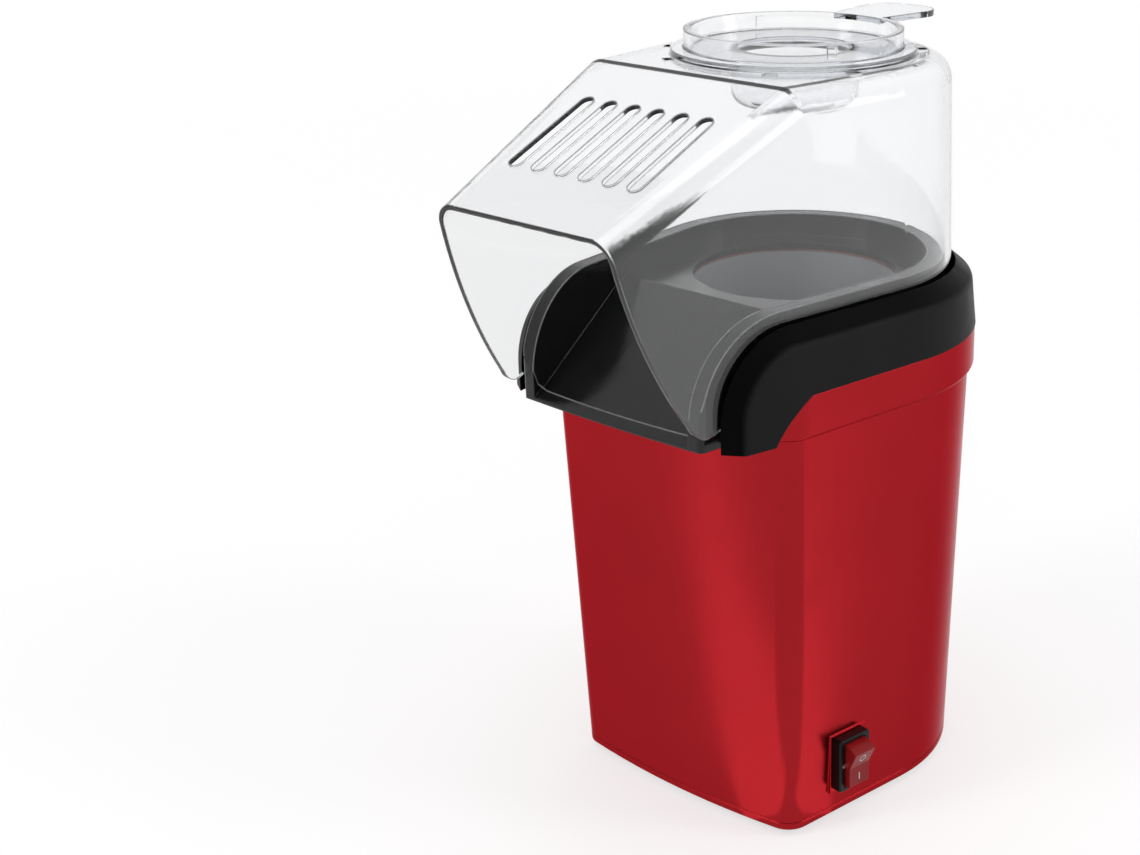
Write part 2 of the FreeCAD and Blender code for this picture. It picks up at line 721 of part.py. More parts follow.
def collar_profile(foot, hollow):
    """Section of the collar at a leg's foot: out of the side, and towards the front."""
    ridge_len = math.hypot(COLLAR_RIDGE_OUT, COLLAR_RIDGE_DROP)
    skirt_len = math.hypot(
        COLLAR_SKIRT_OUT - COLLAR_RIDGE_OUT, COLLAR_SKIRT_DROP - COLLAR_RIDGE_DROP)
    ridge = (COLLAR_RIDGE_OUT, -COLLAR_RIDGE_DROP)
    before = (ridge[0] * (1 - COLLAR_RIDGE_ROUND / ridge_len),
              ridge[1] * (1 - COLLAR_RIDGE_ROUND / ridge_len))
    share = COLLAR_RIDGE_ROUND / skirt_len
    after = (ridge[0] + (COLLAR_SKIRT_OUT - ridge[0]) * share,
             ridge[1] - (COLLAR_SKIRT_DROP - COLLAR_RIDGE_DROP) * share)
    middle = ((before[0] + after[0] + 2 * ridge[0]) / 4,
              (before[1] + after[1] + 2 * ridge[1]) / 4)
    ledge_in = -(COLLAR_R - RIM_R - SEAT_GAP)
    ledge_low = -(LEDGE_DROP + LEDGE_T)
    steps = [before, (middle, after), (COLLAR_SKIRT_OUT, -COLLAR_SKIRT_DROP)]
    if hollow:
        roof = -(COLLAR_RIDGE_DROP + COLLAR_ROOF)
        steps += [
            (COLLAR_SKIRT_OUT - COLLAR_WALL, -COLLAR_SKIRT_DROP),
            (COLLAR_RIDGE_OUT - COLLAR_WALL, roof),
            (COLLAR_WALL, -COLLAR_WALL - COLLAR_ROOF),
            (COLLAR_WALL, ledge_low)]
    else:
        steps += [(ledge_in, -COLLAR_SKIRT_DROP)]
    steps += [(ledge_in, ledge_low), (ledge_in, -LEDGE_DROP), (0, -LEDGE_DROP)]

    def place(p):
        return foot + OUTWARD * p[0] + FORWARD * p[1]

    return outline((0, 0), steps, place)


def below_collar():
    """Everything under the collar's level lower edge and behind its legs."""
    return side_prism(
        (REACH, BAND_TOP_Z),
        [(LEG_BACK_TOP_Y, BAND_TOP_Z),
         (LEG_BACK_MID, (LEG_BACK_Y, LEG_BOTTOM_Z)),
         (LEG_BACK_Y, -REACH), (REACH, -REACH)])


def collar():
    """Black collar with front legs, hood groove and screw posts."""
    spine, foot = collar_spine(LEG_BOTTOM_Z)
    body = sweep(spine, collar_profile(foot, True))
    cap = Part.Face(collar_profile(foot, False)).extrude(V(0, 0, LEG_CAP_T))
    body = fuse_all(body, [cap, cap.mirror(V(0, 0, 0), V(1, 0, 0))])
    body = body.cut(below_collar())
    posts = [cylinder(COLLAR_POST_R, FLANGE_TOP_Z, LEDGE_TOP_Z - LEDGE_T / 2, s.x, s.y)
             for s in collar_post_spots()]
    body = fuse_all(body, posts)
    holes = [screw_hole(at_height(s, FLANGE_TOP_Z), COLLAR_SCREW_L - FLANGE_T, True)
             for s in collar_post_spots()]
    return cut_all(body, holes)


def above_rim():
    """Everything above the chute's rim and in front of its lip."""
    rim_bend = RIM_TOP_Z - BEND_Z
    return side_prism(
        (REACH, RIM_TOP_Z),
        [(BEND_Y, RIM_TOP_Z),
         (bend_point(rim_bend, BEND_MIDDLE), bend_point(rim_bend, BEND_END)),
         (-REACH, BEND_Z), (-REACH, REACH), (REACH, REACH)])


def above_floor(lower):
    """Everything above the chute's floor, or above a floor lower by a thickness."""
    ramp_low_z = LIP_EDGE_Z - LIP_STEP
    fall = (FLOOR_TOP_Z - ramp_low_z) / (RAMP_TOP_Y - LIP_EDGE_Y)
    drop = lower * math.hypot(1, fall)
    end_y = LIP_Y - REACH
    end_z = ramp_low_z - drop + (end_y - LIP_EDGE_Y) * fall
    turn_y = RAMP_TOP_Y - (lower - drop) / fall
    return side_prism(
        (REACH, FLOOR_TOP_Z - lower),
        [(turn_y, FLOOR_TOP_Z - lower), (end_y, end_z), (end_y, REACH), (REACH, REACH)])


def chute_tray():
    """Dark chute: rim, ramp, front lip and the skirt that stands on the band."""
    block = d_prism(RIM_R, -LIP_Y, LIP_CORNER_R, LIP_Z, RIM_TOP_Z, LIP_BOW_R)
    block = block.cut(above_rim())
    inner_r = RIM_R - RIM_W
    passage = d_prism(inner_r, REACH / 2, LIP_CORNER_R, 0, REACH, REACH)
    well = d_prism(inner_r, -LIP_EDGE_Y, WELL_CORNER_R, 0, REACH, LIP_BOW_R)
    tray = block.cut(passage.common(above_floor(-LIP_STEP)))
    tray = tray.cut(well.common(above_floor(0))).removeSplitter()
    under = d_prism(
        RIM_R - SKIRT_WALL, BAND_FRONT - SKIRT_WALL, LIP_CORNER_R, 0, REACH, REACH)
    hollow = under.cut(above_floor(FLOOR_T))
    band_room = d_prism(BAND_R, BAND_FRONT + SEAT_GAP, BAND_CORNER_R, 0, FLANGE_TOP_Z)
    tray = tray.cut([hollow, band_room, cylinder(CHAMBER_R, 0, REACH)])
    posts = []
    for spot in chute_post_spots():
        top = FLANGE_TOP_Z + CHUTE_POST_H
        post = cylinder(CHUTE_POST_R, FLANGE_TOP_Z, top, spot.x, spot.y)
        posts.append(post.cut(above_floor(FLOOR_T / 2)))
    tray = fuse_all(tray, posts)
    holes = [screw_hole(at_height(s, FLANGE_TOP_Z), CHUTE_SCREW_L - FLANGE_T, True)
             for s in chute_post_spots()]
    depth = CHAMBER_SCREW_L - (FLOOR_UNDER_Z - CASING_TOP_Z + CASING_FLANGE_T)
    holes += [screw_hole(at_height(s, FLOOR_UNDER_Z), depth, True) for s in chamber_screw_spots()]
    return cut_all(tray, holes)


def under_ramp():
    """Room in front of the chamber that the ramp takes, free of flanges."""
    front = -(CASING_OUT_R + SEAT_GAP)
    return side_prism((front, 0), [(front, REACH), (-REACH, REACH), (-REACH, 0)])


def slope_angle():
    """Slope of the hood's front panel, in radians."""
    return math.atan2(HOOD_TOP_Z - MOUTH_Z, HOOD_FOLD_Y - MOUTH_Y)


def hood_form(inset):
    """Solid form of the hood above its groove, drawn in by an inset."""
    low_z = LEG_BOTTOM_Z
    draft = (HOOD_R - HOOD_HEAD_R) / (HOOD_TOP_Z - HOOD_BOTTOM_Z)
    low_r = HOOD_R + draft * (HOOD_BOTTOM_Z - low_z) - inset
    front = REACH / 2
    low = d_wire(low_r, front, LIP_CORNER_R, low_z, REACH)
    high = d_wire(HOOD_HEAD_R - inset, front, LIP_CORNER_R, HOOD_TOP_Z, REACH)
    form = Part.makeLoft([low, high], True, True)
    lift = inset / math.cos(slope_angle())
    top = HOOD_TOP_Z - inset
    fold_y = HOOD_FOLD_Y - (lift - inset) / math.tan(slope_angle())
    run = MOUTH_Y - 2 * HOOD_EDGE_R
    panel_z = top + (run - fold_y) * math.tan(slope_angle())
    over = side_prism(
        (REACH, top), [(fold_y, top), (run, panel_z), (run, -REACH), (-REACH, -REACH),
                       (-REACH, REACH), (REACH, REACH)])
    form = form.cut(over)
    crown = []
    for edge in form.Edges:
        box = edge.BoundBox
        mid = edge.CenterOfMass
        on_top = near(box.ZMin, top) and near(box.ZMax, top)
        on_slope = box.ZMin > panel_z - EDGE_SLACK and box.YMax > run + EDGE_SLACK
        on_slope = on_slope and box.YMin < fold_y - EDGE_SLACK
        crosses = near(mid.x, 0)
        if (on_top or on_slope) and not crosses:
            crown.append(edge)
    return form.makeFillet(HOOD_EDGE_R - inset, crown)


def hood_keep():
    """Side view of the hood: mouth edge, mouth corners and the edge in the groove."""
    groove_r = HOOD_BOTTOM_Z - BEND_Z
    return side_prism(
        (MOUTH_Y, MOUTH_Z),
        [(MOUTH_MID, MOUTH_LOW), (TOE_MID, TOE),
         (HEEL_MID, bend_point(groove_r, HEEL_ANGLE)),
         (bend_point(groove_r, GROOVE_MIDDLE), (BEND_Y, HOOD_BOTTOM_Z)),
         (REACH, HOOD_BOTTOM_Z), (REACH, REACH), (MOUTH_Y, REACH)])


def panel_vents():
    """Long vents across the sloped front panel."""
    angle = slope_angle()
    along = V(0, math.cos(angle), math.sin(angle))
    normal = V(0, -math.sin(angle), math.cos(angle))
    tools = []
    for k in range(VENT_COUNT):
        x = (k - (VENT_COUNT - 1) / 2) * VENT_PITCH
        corner = V(x, MOUTH_Y, MOUTH_Z)
        low = corner + along * (VENT_START + VENT_W / 2) - normal * (2 * HOOD_WALL)
        high = corner + along * (VENT_END - VENT_W / 2) - normal * (2 * HOOD_WALL)
        side = V(VENT_W / 2, 0, 0)
        wire = Part.Wire([
            Part.makeLine(low + side, high + side),
            Part.Arc(high + side, high + along * (VENT_W / 2), high - side).toShape(),
            Part.makeLine(high - side, low - side),
            Part.Arc(low - side, low - along * (VENT_W / 2), low + side).toShape()])
        tools.append(Part.Face(wire).extrude(normal * (4 * HOOD_WALL)))
    return tools


def top_vents():
    """Small vents round the hood's top."""
    tools = []
    for degrees in TOP_VENT_ANGLES:
        slot = Part.makeBox(
            TOP_VENT_W, TOP_VENT_L, 4 * HOOD_WALL,
            V(TOP_VENT_R - TOP_VENT_W / 2, -TOP_VENT_L / 2, HOOD_TOP_Z - 3 * HOOD_WALL))
        slot.rotate(V(0, 0, 0), UP, degrees)
        tools.append(slot)
    return tools


def hood():
    """Clear hood with its mouth, vents, cup opening and locating ring."""
    shell = hood_form(0).cut(hood_form(HOOD_WALL)).common(hood_keep())
    ring = tube(RING_R - RING_W, RING_R, HOOD_TOP_Z - HOOD_WALL / 2, HOOD_TOP_Z + RING_H)
    shell = fuse_all(shell, [ring])
    opening = cylinder(
        CUP_WELL_R + 2 * SEAT_GAP, HOOD_TOP_Z - 2 * HOOD_WALL, HOOD_TOP_Z + RING_H)
    return cut_all(shell, [opening] + panel_vents() + top_vents())


def thumb_tab():
    """Flat tab that reaches back from the cup's rim."""
    top = CUP_BASE_Z + CUP_RIM_H
    root_y = CUP_R - CUP_RIM_W
    end = TAB_REACH - TAB_ROUND
    half = TAB_W / 2
    turn = math.sqrt(0.5) * TAB_ROUND

    def place(p):
        return V(p[0], p[1], top - TAB_T)

    wire = outline(
        (TAB_ROOT_W / 2, root_y),
        [(half, end),
         ((half - TAB_ROUND + turn, end + turn), (half - TAB_ROUND, TAB_REACH)),
         (-half + TAB_ROUND, TAB_REACH),
         ((-half + TAB_ROUND - turn, end + turn), (-half, end)),
         (-TAB_ROOT_W / 2, root_y)], place)
    return Part.Face(wire).extrude(V(0, 0, TAB_T))


def measuring_cup():
    """Clear measuring cup: rim, floor, central well and thumb tab."""
    top = CUP_BASE_Z + CUP_RIM_H
    inner = CUP_R - CUP_RIM_W
    well_z = CUP_BASE_Z - CUP_WELL_DEPTH
    disc = cylinder(CUP_R, CUP_BASE_Z, top)
    well = cylinder(CUP_WELL_R, well_z, CUP_BASE_Z + CUP_FLOOR_T)
    well = well.makeFillet(CUP_ROUND, [e for e in well.Edges if near(e.BoundBox.ZMax, well_z)])
    hole_r = CUP_WELL_R - CUP_WALL
    hole = cylinder(hole_r, well_z + CUP_FLOOR_T, top)
    hole = hole.makeFillet(
        CUP_ROUND - CUP_WALL,
        [e for e in hole.Edges if near(e.BoundBox.ZMax, well_z + CUP_FLOOR_T)])
    tab = thumb_tab().cut(cylinder(inner, 0, REACH))
    cup = fuse_all(disc, [well, tab])
    cup = cup.cut([cylinder(inner, CUP_BASE_Z + CUP_FLOOR_T, top), hole])
    lugs = []
    for degrees in LUG_ANGLES:
        lug = Part.makeBox(
            LUG_T + CUP_RIM_W / 2, LUG_W, LUG_H, V(inner - LUG_T, -LUG_W / 2, top - LUG_H - LUG_T))
        lug.rotate(V(0, 0, 0), UP, degrees)
        lugs.append(lug)
    return fuse_all(cup, lugs)


def popping_chamber():
    """Aluminium cup with slanted air slots near its closed bottom and a top flange."""
    outer_r = CHAMBER_R + CHAMBER_WALL
    bottom = CHAMBER_BOTTOM_Z
    outside = cylinder(outer_r, bottom, CHAMBER_TOP_Z)
    outside = outside.makeFillet(
        CHAMBER_ROUND + CHAMBER_WALL, [e for e in outside.Edges if near(e.BoundBox.ZMax, bottom)])
    floor = bottom + CHAMBER_WALL
    inside = cylinder(CHAMBER_R, floor, CHAMBER_TOP_Z)
    inside = inside.makeFillet(
        CHAMBER_ROUND, [e for e in inside.Edges if near(e.BoundBox.ZMax, floor)])
    flange = cylinder(RIM_FLANGE_R, CHAMBER_TOP_Z - RIM_FLANGE_T, CHAMBER_TOP_Z)
    chamber = fuse_all(outside, [flange]).cut(inside)
    tools = []
    for turn in turns(CHAMBER_SLOTS):
        slot = Part.makeBox(
            4 * CHAMBER_WALL, CHAMBER_SLOT_W, CHAMBER_SLOT_H,
            V(-2 * CHAMBER_WALL, -CHAMBER_SLOT_W / 2, 0))
        slot.rotate(V(0, 0, 0), UP, CHAMBER_SLOT_TILT)
        slot.translate(V(CHAMBER_R + CHAMBER_WALL / 2, 0, CHAMBER_SLOT_Z))
        slot.rotate(V(0, 0, 0), UP, turn)
        tools.append(slot)
    for spot in chamber_screw_spots():
        tools.append(cylinder(SCREW_R + FIT_GAP, CASING_TOP_Z, CHAMBER_TOP_Z, spot.x, spot.y))
    return cut_all(chamber, tools + [under_ramp()])


def chamber_seal():
    """Soft ring between the chamber's flange and the chute."""
    inner = CHAMBER_R + CHAMBER_WALL
    return tube(inner, inner + SEAL_W, CHAMBER_TOP_Z, FLOOR_UNDER_Z)


def heater_casing():
    """Sheet-metal duct between the fan housing and the chamber's flange."""
    wall = tube(CASING_R, CASING_OUT_R, CASING_BOTTOM_Z, CASING_TOP_Z)
    foot = tube(CASING_LIP_R, CASING_FLANGE_R, CASING_BOTTOM_Z, CASING_BOTTOM_Z + CASING_FLANGE_T)
    head = tube(CASING_R, RIM_FLANGE_R, CASING_TOP_Z - CASING_FLANGE_T, CASING_TOP_Z)
    head = head.cut(under_ramp())
    casing = fuse_all(wall, [foot, head])
    tools = [cylinder(SCREW_R + FIT_GAP, CASING_TOP_Z - CASING_FLANGE_T, CASING_TOP_Z, s.x, s.y)
             for s in chamber_screw_spots()]
    tools += [cylinder(SCREW_R + FIT_GAP, CASING_BOTTOM_Z, CASING_BOTTOM_Z + CASING_FLANGE_T, s.x, s.y)
              for s in duct_screw_spots()]
    return cut_all(casing, tools)


def mica_top_z():
    """Upper edge of the mica cross."""
    return CASING_BOTTOM_Z + CASING_FLANGE_T + MICA_H


def heater_frame():
    """Mica cross that carries the heating coil."""
    half = CASING_R - MICA_GAP
    bottom = CASING_BOTTOM_Z + CASING_FLANGE_T
    card = Part.makeBox(2 * half, MICA_T, MICA_H, V(-half, -MICA_T / 2, bottom))
    other = Part.makeBox(MICA_T, 2 * half, MICA_H, V(-MICA_T / 2, -half, bottom))
    return fuse_all(card, [other])


def heater_coil():
    """Flat spiral heating coil of half circles, lying on the mica cross."""
    z = mica_top_z() + COIL_WIRE_R + FIT_GAP
    edges = []
    start = V(COIL_START_R, 0, z)
    way = 1
    for k in range(COIL_HALF_TURNS):
        radius = COIL_START_R + COIL_PITCH / 2 * (k + 0.5)
        end = V(start.x - way * 2 * radius, 0, z)
        middle = V((start.x + end.x) / 2, way * radius, z)
        edges.append(Part.Arc(start, middle, end).toShape())
        start = end
        way = -way
    ring = Part.Wire([Part.makeCircle(COIL_WIRE_R, V(COIL_START_R, 0, z), V(0, 1, 0))])
    return sweep(Part.Wire(edges), ring)


def thermostat():
    """Bimetal thermostat on the rear of the heater casing."""
    y = CASING_OUT_R + FIT_GAP
    plate = Part.makeBox(
        THERMOSTAT_PLATE_W, THERMOSTAT_PLATE_T, THERMOSTAT_PLATE_H,
        V(-THERMOSTAT_PLATE_W / 2, y, THERMOSTAT_Z - THERMOSTAT_PLATE_H / 2))
    body = Part.makeCylinder(THERMOSTAT_R, THERMOSTAT_L, V(0, y, THERMOSTAT_Z), V(0, 1, 0))
    tabs = []
    for x in (-THERMOSTAT_R / 2, THERMOSTAT_R / 2):
        tabs.append(Part.makeBox(
            TERMINAL_W, TERMINAL_T, TERMINAL_L + THERMOSTAT_R,
            V(x - TERMINAL_W / 2, y + THERMOSTAT_L - TERMINAL_T, THERMOSTAT_Z)))
    return fuse_all(plate, [body] + tabs)


def thermal_fuse():
    """Thermal fuse upright against the heater casing."""
    spot = polar(CASING_OUT_R + FIT_GAP + FUSE_R, FUSE_ANGLE)
    body = cylinder(FUSE_R, FUSE_Z, FUSE_Z + FUSE_L, spot.x, spot.y)
    lead = cylinder(
        FUSE_LEAD_R, FUSE_Z - FUSE_LEAD_L, FUSE_Z + FUSE_L + FUSE_LEAD_L, spot.x, spot.y)
    return fuse_all(body, [lead])


def fan_housing():
    """Fan duct with a spoked plate that carries the motor."""
    top = CASING_BOTTOM_Z
    outer = FAN_HOUSING_R + FAN_HOUSING_WALL
    wall = tube(FAN_HOUSING_R, outer, FAN_HOUSING_Z, top)
    flange = tube(FAN_HOUSING_R, CASING_FLANGE_R, top - FAN_FLANGE_T, top)
    plate = cylinder(FAN_PLATE_R, FAN_HOUSING_Z, FAN_HOUSING_Z + FAN_PLATE_T)
    arms = []
    for turn in turns(FAN_ARMS, FAN_ARM_START):
        arm = Part.makeBox(
            FAN_HOUSING_R + FAN_HOUSING_WALL / 2, FAN_ARM_W, FAN_PLATE_T,
            V(0, -FAN_ARM_W / 2, FAN_HOUSING_Z))
        arm.rotate(V(0, 0, 0), UP, turn)
        arms.append(arm)
    housing = fuse_all(wall, [flange, plate] + arms)
    tools = [cylinder(SCREW_R + FIT_GAP, top - FAN_FLANGE_T, top, s.x, s.y) for s in duct_screw_spots()]
    tools += [cylinder(MOTOR_SCREW_R + FIT_GAP, FAN_HOUSING_Z, FAN_HOUSING_Z + FAN_PLATE_T, s.x, s.y)
              for s in motor_screw_spots()]
    tools.append(cylinder(BUSH_R + SEAT_GAP, FAN_HOUSING_Z, FAN_HOUSING_Z + FAN_PLATE_T))
    return cut_all(housing, tools)


def fan_impeller():
    """Axial impeller with a hub and pitched blades."""
    hub = cylinder(FAN_HUB_R, FAN_Z, FAN_Z + FAN_H)
    limit = cylinder(FAN_R, FAN_Z, FAN_Z + FAN_H)
    blades = []
    for turn in turns(FAN_BLADES):
        blade = Part.makeBox(
            FAN_R, FAN_BLADE_W, FAN_BLADE_T,
            V(FAN_HUB_R / 2, -FAN_BLADE_W / 2, -FAN_BLADE_T / 2))
        blade.rotate(V(0, 0, 0), V(1, 0, 0), FAN_BLADE_PITCH)
        blade.translate(V(0, 0, FAN_Z + FAN_H / 2))
        blade.rotate(V(0, 0, 0), UP, turn)
        blades.append(blade.common(limit))
    fan = fuse_all(hub, blades)
    return fan.cut(cylinder(SHAFT_R + RUN_GAP, FAN_Z, FAN_Z + FAN_H))


def motor_shaft():
    """Steel shaft from the rear bush to the top of the impeller."""
    return cylinder(SHAFT_R, SHAFT_BOTTOM_Z, FAN_Z + FAN_H)


def motor_can():
    """Motor can, open at its lower end."""
    can = cylinder(MOTOR_R, MOTOR_BOTTOM_Z + END_CAP_T, MOTOR_TOP_Z)
    room = cylinder(MOTOR_R - MOTOR_WALL, MOTOR_BOTTOM_Z, MOTOR_TOP_Z - MOTOR_FACE_T)
    holes = [cylinder(BUSH_R + FIT_GAP, MOTOR_BOTTOM_Z, MOTOR_TOP_Z)]
    holes += [cylinder(MOTOR_SCREW_R + FIT_GAP, MOTOR_BOTTOM_Z, MOTOR_TOP_Z, s.x, s.y)
              for s in motor_screw_spots()]
    return can.cut([room] + holes)


def motor_end_cap():
    """Plastic end cap plugged into the can."""
    flange = cylinder(MOTOR_R, MOTOR_BOTTOM_Z, MOTOR_BOTTOM_Z + END_CAP_T)
    top = MOTOR_BOTTOM_Z + END_CAP_T + END_CAP_PLUG
    plug = cylinder(MOTOR_R - MOTOR_WALL - FIT_GAP, MOTOR_BOTTOM_Z, top)
    return fuse_all(flange, [plug]).cut(cylinder(BUSH_R + FIT_GAP, MOTOR_BOTTOM_Z, top))


def motor_bushes():
    """Two bronze bushes that carry the shaft."""
    high = tube(
        SHAFT_R + RUN_GAP, BUSH_R, MOTOR_TOP_Z + BUSH_PROUD - BUSH_LONG, MOTOR_TOP_Z + BUSH_PROUD)
    low = tube(SHAFT_R + RUN_GAP, BUSH_R, MOTOR_BOTTOM_Z, MOTOR_BOTTOM_Z + END_CAP_T + END_CAP_PLUG)
    return Part.makeCompound([high, low])


def armature_z():
    """Lower end of the armature, centred in the can."""
    return (MOTOR_BOTTOM_Z + END_CAP_T + END_CAP_PLUG + MOTOR_TOP_Z - BUSH_LONG - ARMATURE_H) / 2


def motor_magnets():
    """Two arc magnets inside the can."""
    outer = MOTOR_R - MOTOR_WALL - FIT_GAP
    middle = armature_z() + ARMATURE_H / 2
    ring = tube(outer - MAGNET_T, outer, middle - MAGNET_H / 2, middle + MAGNET_H / 2)
    magnets = []
    for turn in (0, 180):
        wedge = Part.makeCylinder(
            2 * MOTOR_R, MAGNET_H, V(0, 0, middle - MAGNET_H / 2), UP, MAGNET_SPAN)
        wedge.rotate(V(0, 0, 0), UP, turn - MAGNET_SPAN / 2)
        magnets.append(ring.common(wedge))
    return Part.makeCompound(magnets)


def motor_armature():
    """Slotted armature on the shaft."""
    bottom = armature_z()
    core = cylinder(ARMATURE_R, bottom, bottom + ARMATURE_H)
    tools = [cylinder(SHAFT_R + RUN_GAP, bottom, bottom + ARMATURE_H)]
    for turn in turns(ARMATURE_SLOTS):
        slot = Part.makeBox(
            2 * ARMATURE_SLOT_D, ARMATURE_SLOT_W, ARMATURE_H,
            V(ARMATURE_R - ARMATURE_SLOT_D, -ARMATURE_SLOT_W / 2, bottom))
        slot.rotate(V(0, 0, 0), UP, turn)
        tools.append(slot)
    return cut_all(core, tools)


def motor_terminals():
    """Two tags between the end cap and the rectifier board."""
    tags = []
    for x in (-TAG_OUT, TAG_OUT):
        tags.append(Part.makeBox(
            TERMINAL_T, TERMINAL_W, TAG_L, V(x - TERMINAL_T / 2, -TERMINAL_W / 2, BOARD_TOP_Z)))
    return Part.makeCompound(tags)


def rectifier_board():
    """Round board under the motor."""
    return tube(BOARD_HOLE_R, BOARD_R, BOARD_TOP_Z - BOARD_T, BOARD_TOP_Z)


def rectifier_diodes():
    """Four diodes on the underside of the board."""
    z = BOARD_TOP_Z - BOARD_T - DIODE_R - FIT_GAP
    diodes = []
    for turn in turns(DIODES, DIODE_START):
        diode = Part.makeCylinder(DIODE_R, DIODE_L, V(DIODE_OUT, -DIODE_L / 2, z), V(0, 1, 0))
        diode.rotate(V(0, 0, 0), UP, turn)
        diodes.append(diode)
    return Part.makeCompound(diodes)


def switch_frame():
    """Black switch body with its bezel and the well for the rocker."""
    bezel = switch_block(0, BEZEL_PROUD, BEZEL_W, BEZEL_H)
    corners = [e for e in bezel.Edges if near(e.BoundBox.XLength, BEZEL_PROUD)]
    bezel = bezel.makeFillet(BEZEL_ROUND, corners)
    face = [e for e in bezel.Edges if near(e.BoundBox.XMin, BEZEL_PROUD)]
    bezel = bezel.makeFillet(BEZEL_ROUND / 2, face)
    body = switch_block(-SWITCH_DEPTH, 0, SWITCH_BODY_W, SWITCH_BODY_H)
    frame = fuse_all(bezel, [body])
    well_h = 2 * (ROCKER_R + ROCKER_GAP)
    well = switch_block(-SWITCH_DEPTH + SWITCH_BACK_T, BEZEL_PROUD, ROCKER_W + 2 * ROCKER_GAP, well_h)
    hole = Part.makeCylinder(
        PIN_R + FIT_GAP, SWITCH_BODY_W, V(pin_u(), -SWITCH_BODY_W / 2, 0), V(0, 1, 0))
    return to_switch(frame.cut([well, hole]))


def switch_rocker():
    """Red rocker, shown pressed at its lower end."""
    slope = math.radians(ROCKER_FACET)
    lean = math.tan(slope)
    reach = math.sqrt(
        (ROCKER_R ** 2 - ROCKER_VALLEY ** 2) * (1 + lean ** 2) + (ROCKER_VALLEY * lean) ** 2)
    rise = (reach - ROCKER_VALLEY * lean) / (1 + lean ** 2)
    tip = (ROCKER_VALLEY + rise * lean, rise)
    back_rise = math.sqrt(ROCKER_R ** 2 - ROCKER_BACK ** 2)
    half = -ROCKER_W / 2

    def place(p):
        return V(p[0], half, p[1])

    wire = outline(
        (ROCKER_VALLEY, 0),
        [tip, ((0, ROCKER_R), (-ROCKER_BACK, back_rise)),
         (-ROCKER_BACK, -back_rise), ((0, -ROCKER_R), (tip[0], -tip[1]))], place)
    rocker = Part.Face(wire).extrude(V(0, ROCKER_W, 0))
    rocker = rocker.cut(Part.makeCylinder(PIN_R + RUN_GAP, ROCKER_W, V(0, half, 0), V(0, 1, 0)))
    rocker.rotate(V(0, 0, 0), V(0, 1, 0), ROCKER_TILT)
    rocker.translate(V(pin_u(), 0, 0))
    return to_switch(rocker)


def switch_pin():
    """Pin on which the rocker turns."""
    return to_switch(Part.makeCylinder(
        PIN_R, SWITCH_BODY_W, V(pin_u(), -SWITCH_BODY_W / 2, 0), V(0, 1, 0)))


def switch_terminals():
    """Two spade terminals on the back of the switch."""
    blades = []
    for w in (-BLADE_RISE, BLADE_RISE):
        blades.append(to_switch(Part.makeBox(
            BLADE_L, BLADE_W, BLADE_T,
            V(-SWITCH_DEPTH - BLADE_L, -BLADE_W / 2, w - BLADE_T / 2))))
    return Part.makeCompound(blades)


def cord_gland():
    """Round bush in the rear wall."""
    seat = housing_r(GLAND_Z + GLAND_HEAD_R)
    way = V(0, 1, 0)
    head = Part.makeCylinder(GLAND_HEAD_R, GLAND_HEAD_T, V(0, seat, GLAND_Z), way)
    tail_l = HOUSING_WALL + GLAND_TAIL
    tail = Part.makeCylinder(GLAND_R, tail_l, V(0, seat - tail_l, GLAND_Z), way)
    bore = Part.makeCylinder(
        GLAND_BORE_R, tail_l + GLAND_HEAD_T, V(0, seat - tail_l, GLAND_Z), way)
    return fuse_all(head, [tail]).cut(bore)


def screw_set(spots, seat_z, length, upward, radius=SCREW_R, head_r=SCREW_HEAD_R):
    """Alike screws with their heads' seats at one height."""
    return Part.makeCompound(
        [screw(at_height(s, seat_z), length, upward, radius, head_r) for s in spots])


def build():
    """Every node of the popcorn maker by name, drawn about the chamber's axis."""
    return {
        "outer_housing": outer_housing(),
        "upper_band": upper_band(),
        "collar": collar(),
        "chute_tray": chute_tray(),
        "hood": hood(),
        "measuring_cup": measuring_cup(),
        "popping_chamber": popping_chamber(),
        "chamber_seal": chamber_seal(),
        "heater_casing": heater_casing(),
        "heater_frame": heater_frame(),
        "heater_coil": heater_coil(),
        "thermostat": thermostat(),
        "thermal_fuse": thermal_fuse(),
        "fan_housing": fan_housing(),
        "fan_impeller": fan_impeller(),
        "motor_shaft": motor_shaft(),
        "motor_can": motor_can(),
        "motor_end_cap": motor_end_cap(),
        "motor_bushes": motor_bushes(),
        "motor_magnets": motor_magnets(),
        "motor_armature": motor_armature(),
        "motor_terminals": motor_terminals(),
        "rectifier_board": rectifier_board(),
        "rectifier_diodes": rectifier_diodes(),
        "base_plate": base_plate(),
        "rubber_feet": rubber_feet(),
        "switch_frame": switch_frame(),
        "switch_rocker": switch_rocker(),
        "switch_pin": switch_pin(),
        "switch_terminals": switch_terminals(),
        "cord_gland": cord_gland(),
        "base_screws": screw_set(base_boss_spots(), BASE_Z + SCREW_HEAD_H, BASE_SCREW_L, True),
        "band_screws": screw_set(band_boss_spots(), FLANGE_TOP_Z, BAND_SCREW_L, False),
        "collar_screws": screw_set(collar_post_spots(), HOUSING_TOP_Z, COLLAR_SCREW_L, True),
        "chute_screws": screw_set(chute_post_spots(), HOUSING_TOP_Z, CHUTE_SCREW_L, True),
        "chamber_screws": screw_set(
            chamber_screw_spots(), CASING_TOP_Z - CASING_FLANGE_T, CHAMBER_SCREW_L, True),
        "duct_screws": screw_set(
            duct_screw_spots(), CASING_BOTTOM_Z - FAN_FLANGE_T, DUCT_SCREW_L, True),
        "motor_screws": screw_set(
            motor_screw_spots(), FAN_HOUSING_Z + FAN_PLATE_T, MOTOR_SCREW_L, False,
            MOTOR_SCREW_R, MOTOR_SCREW_HEAD_R),
    }


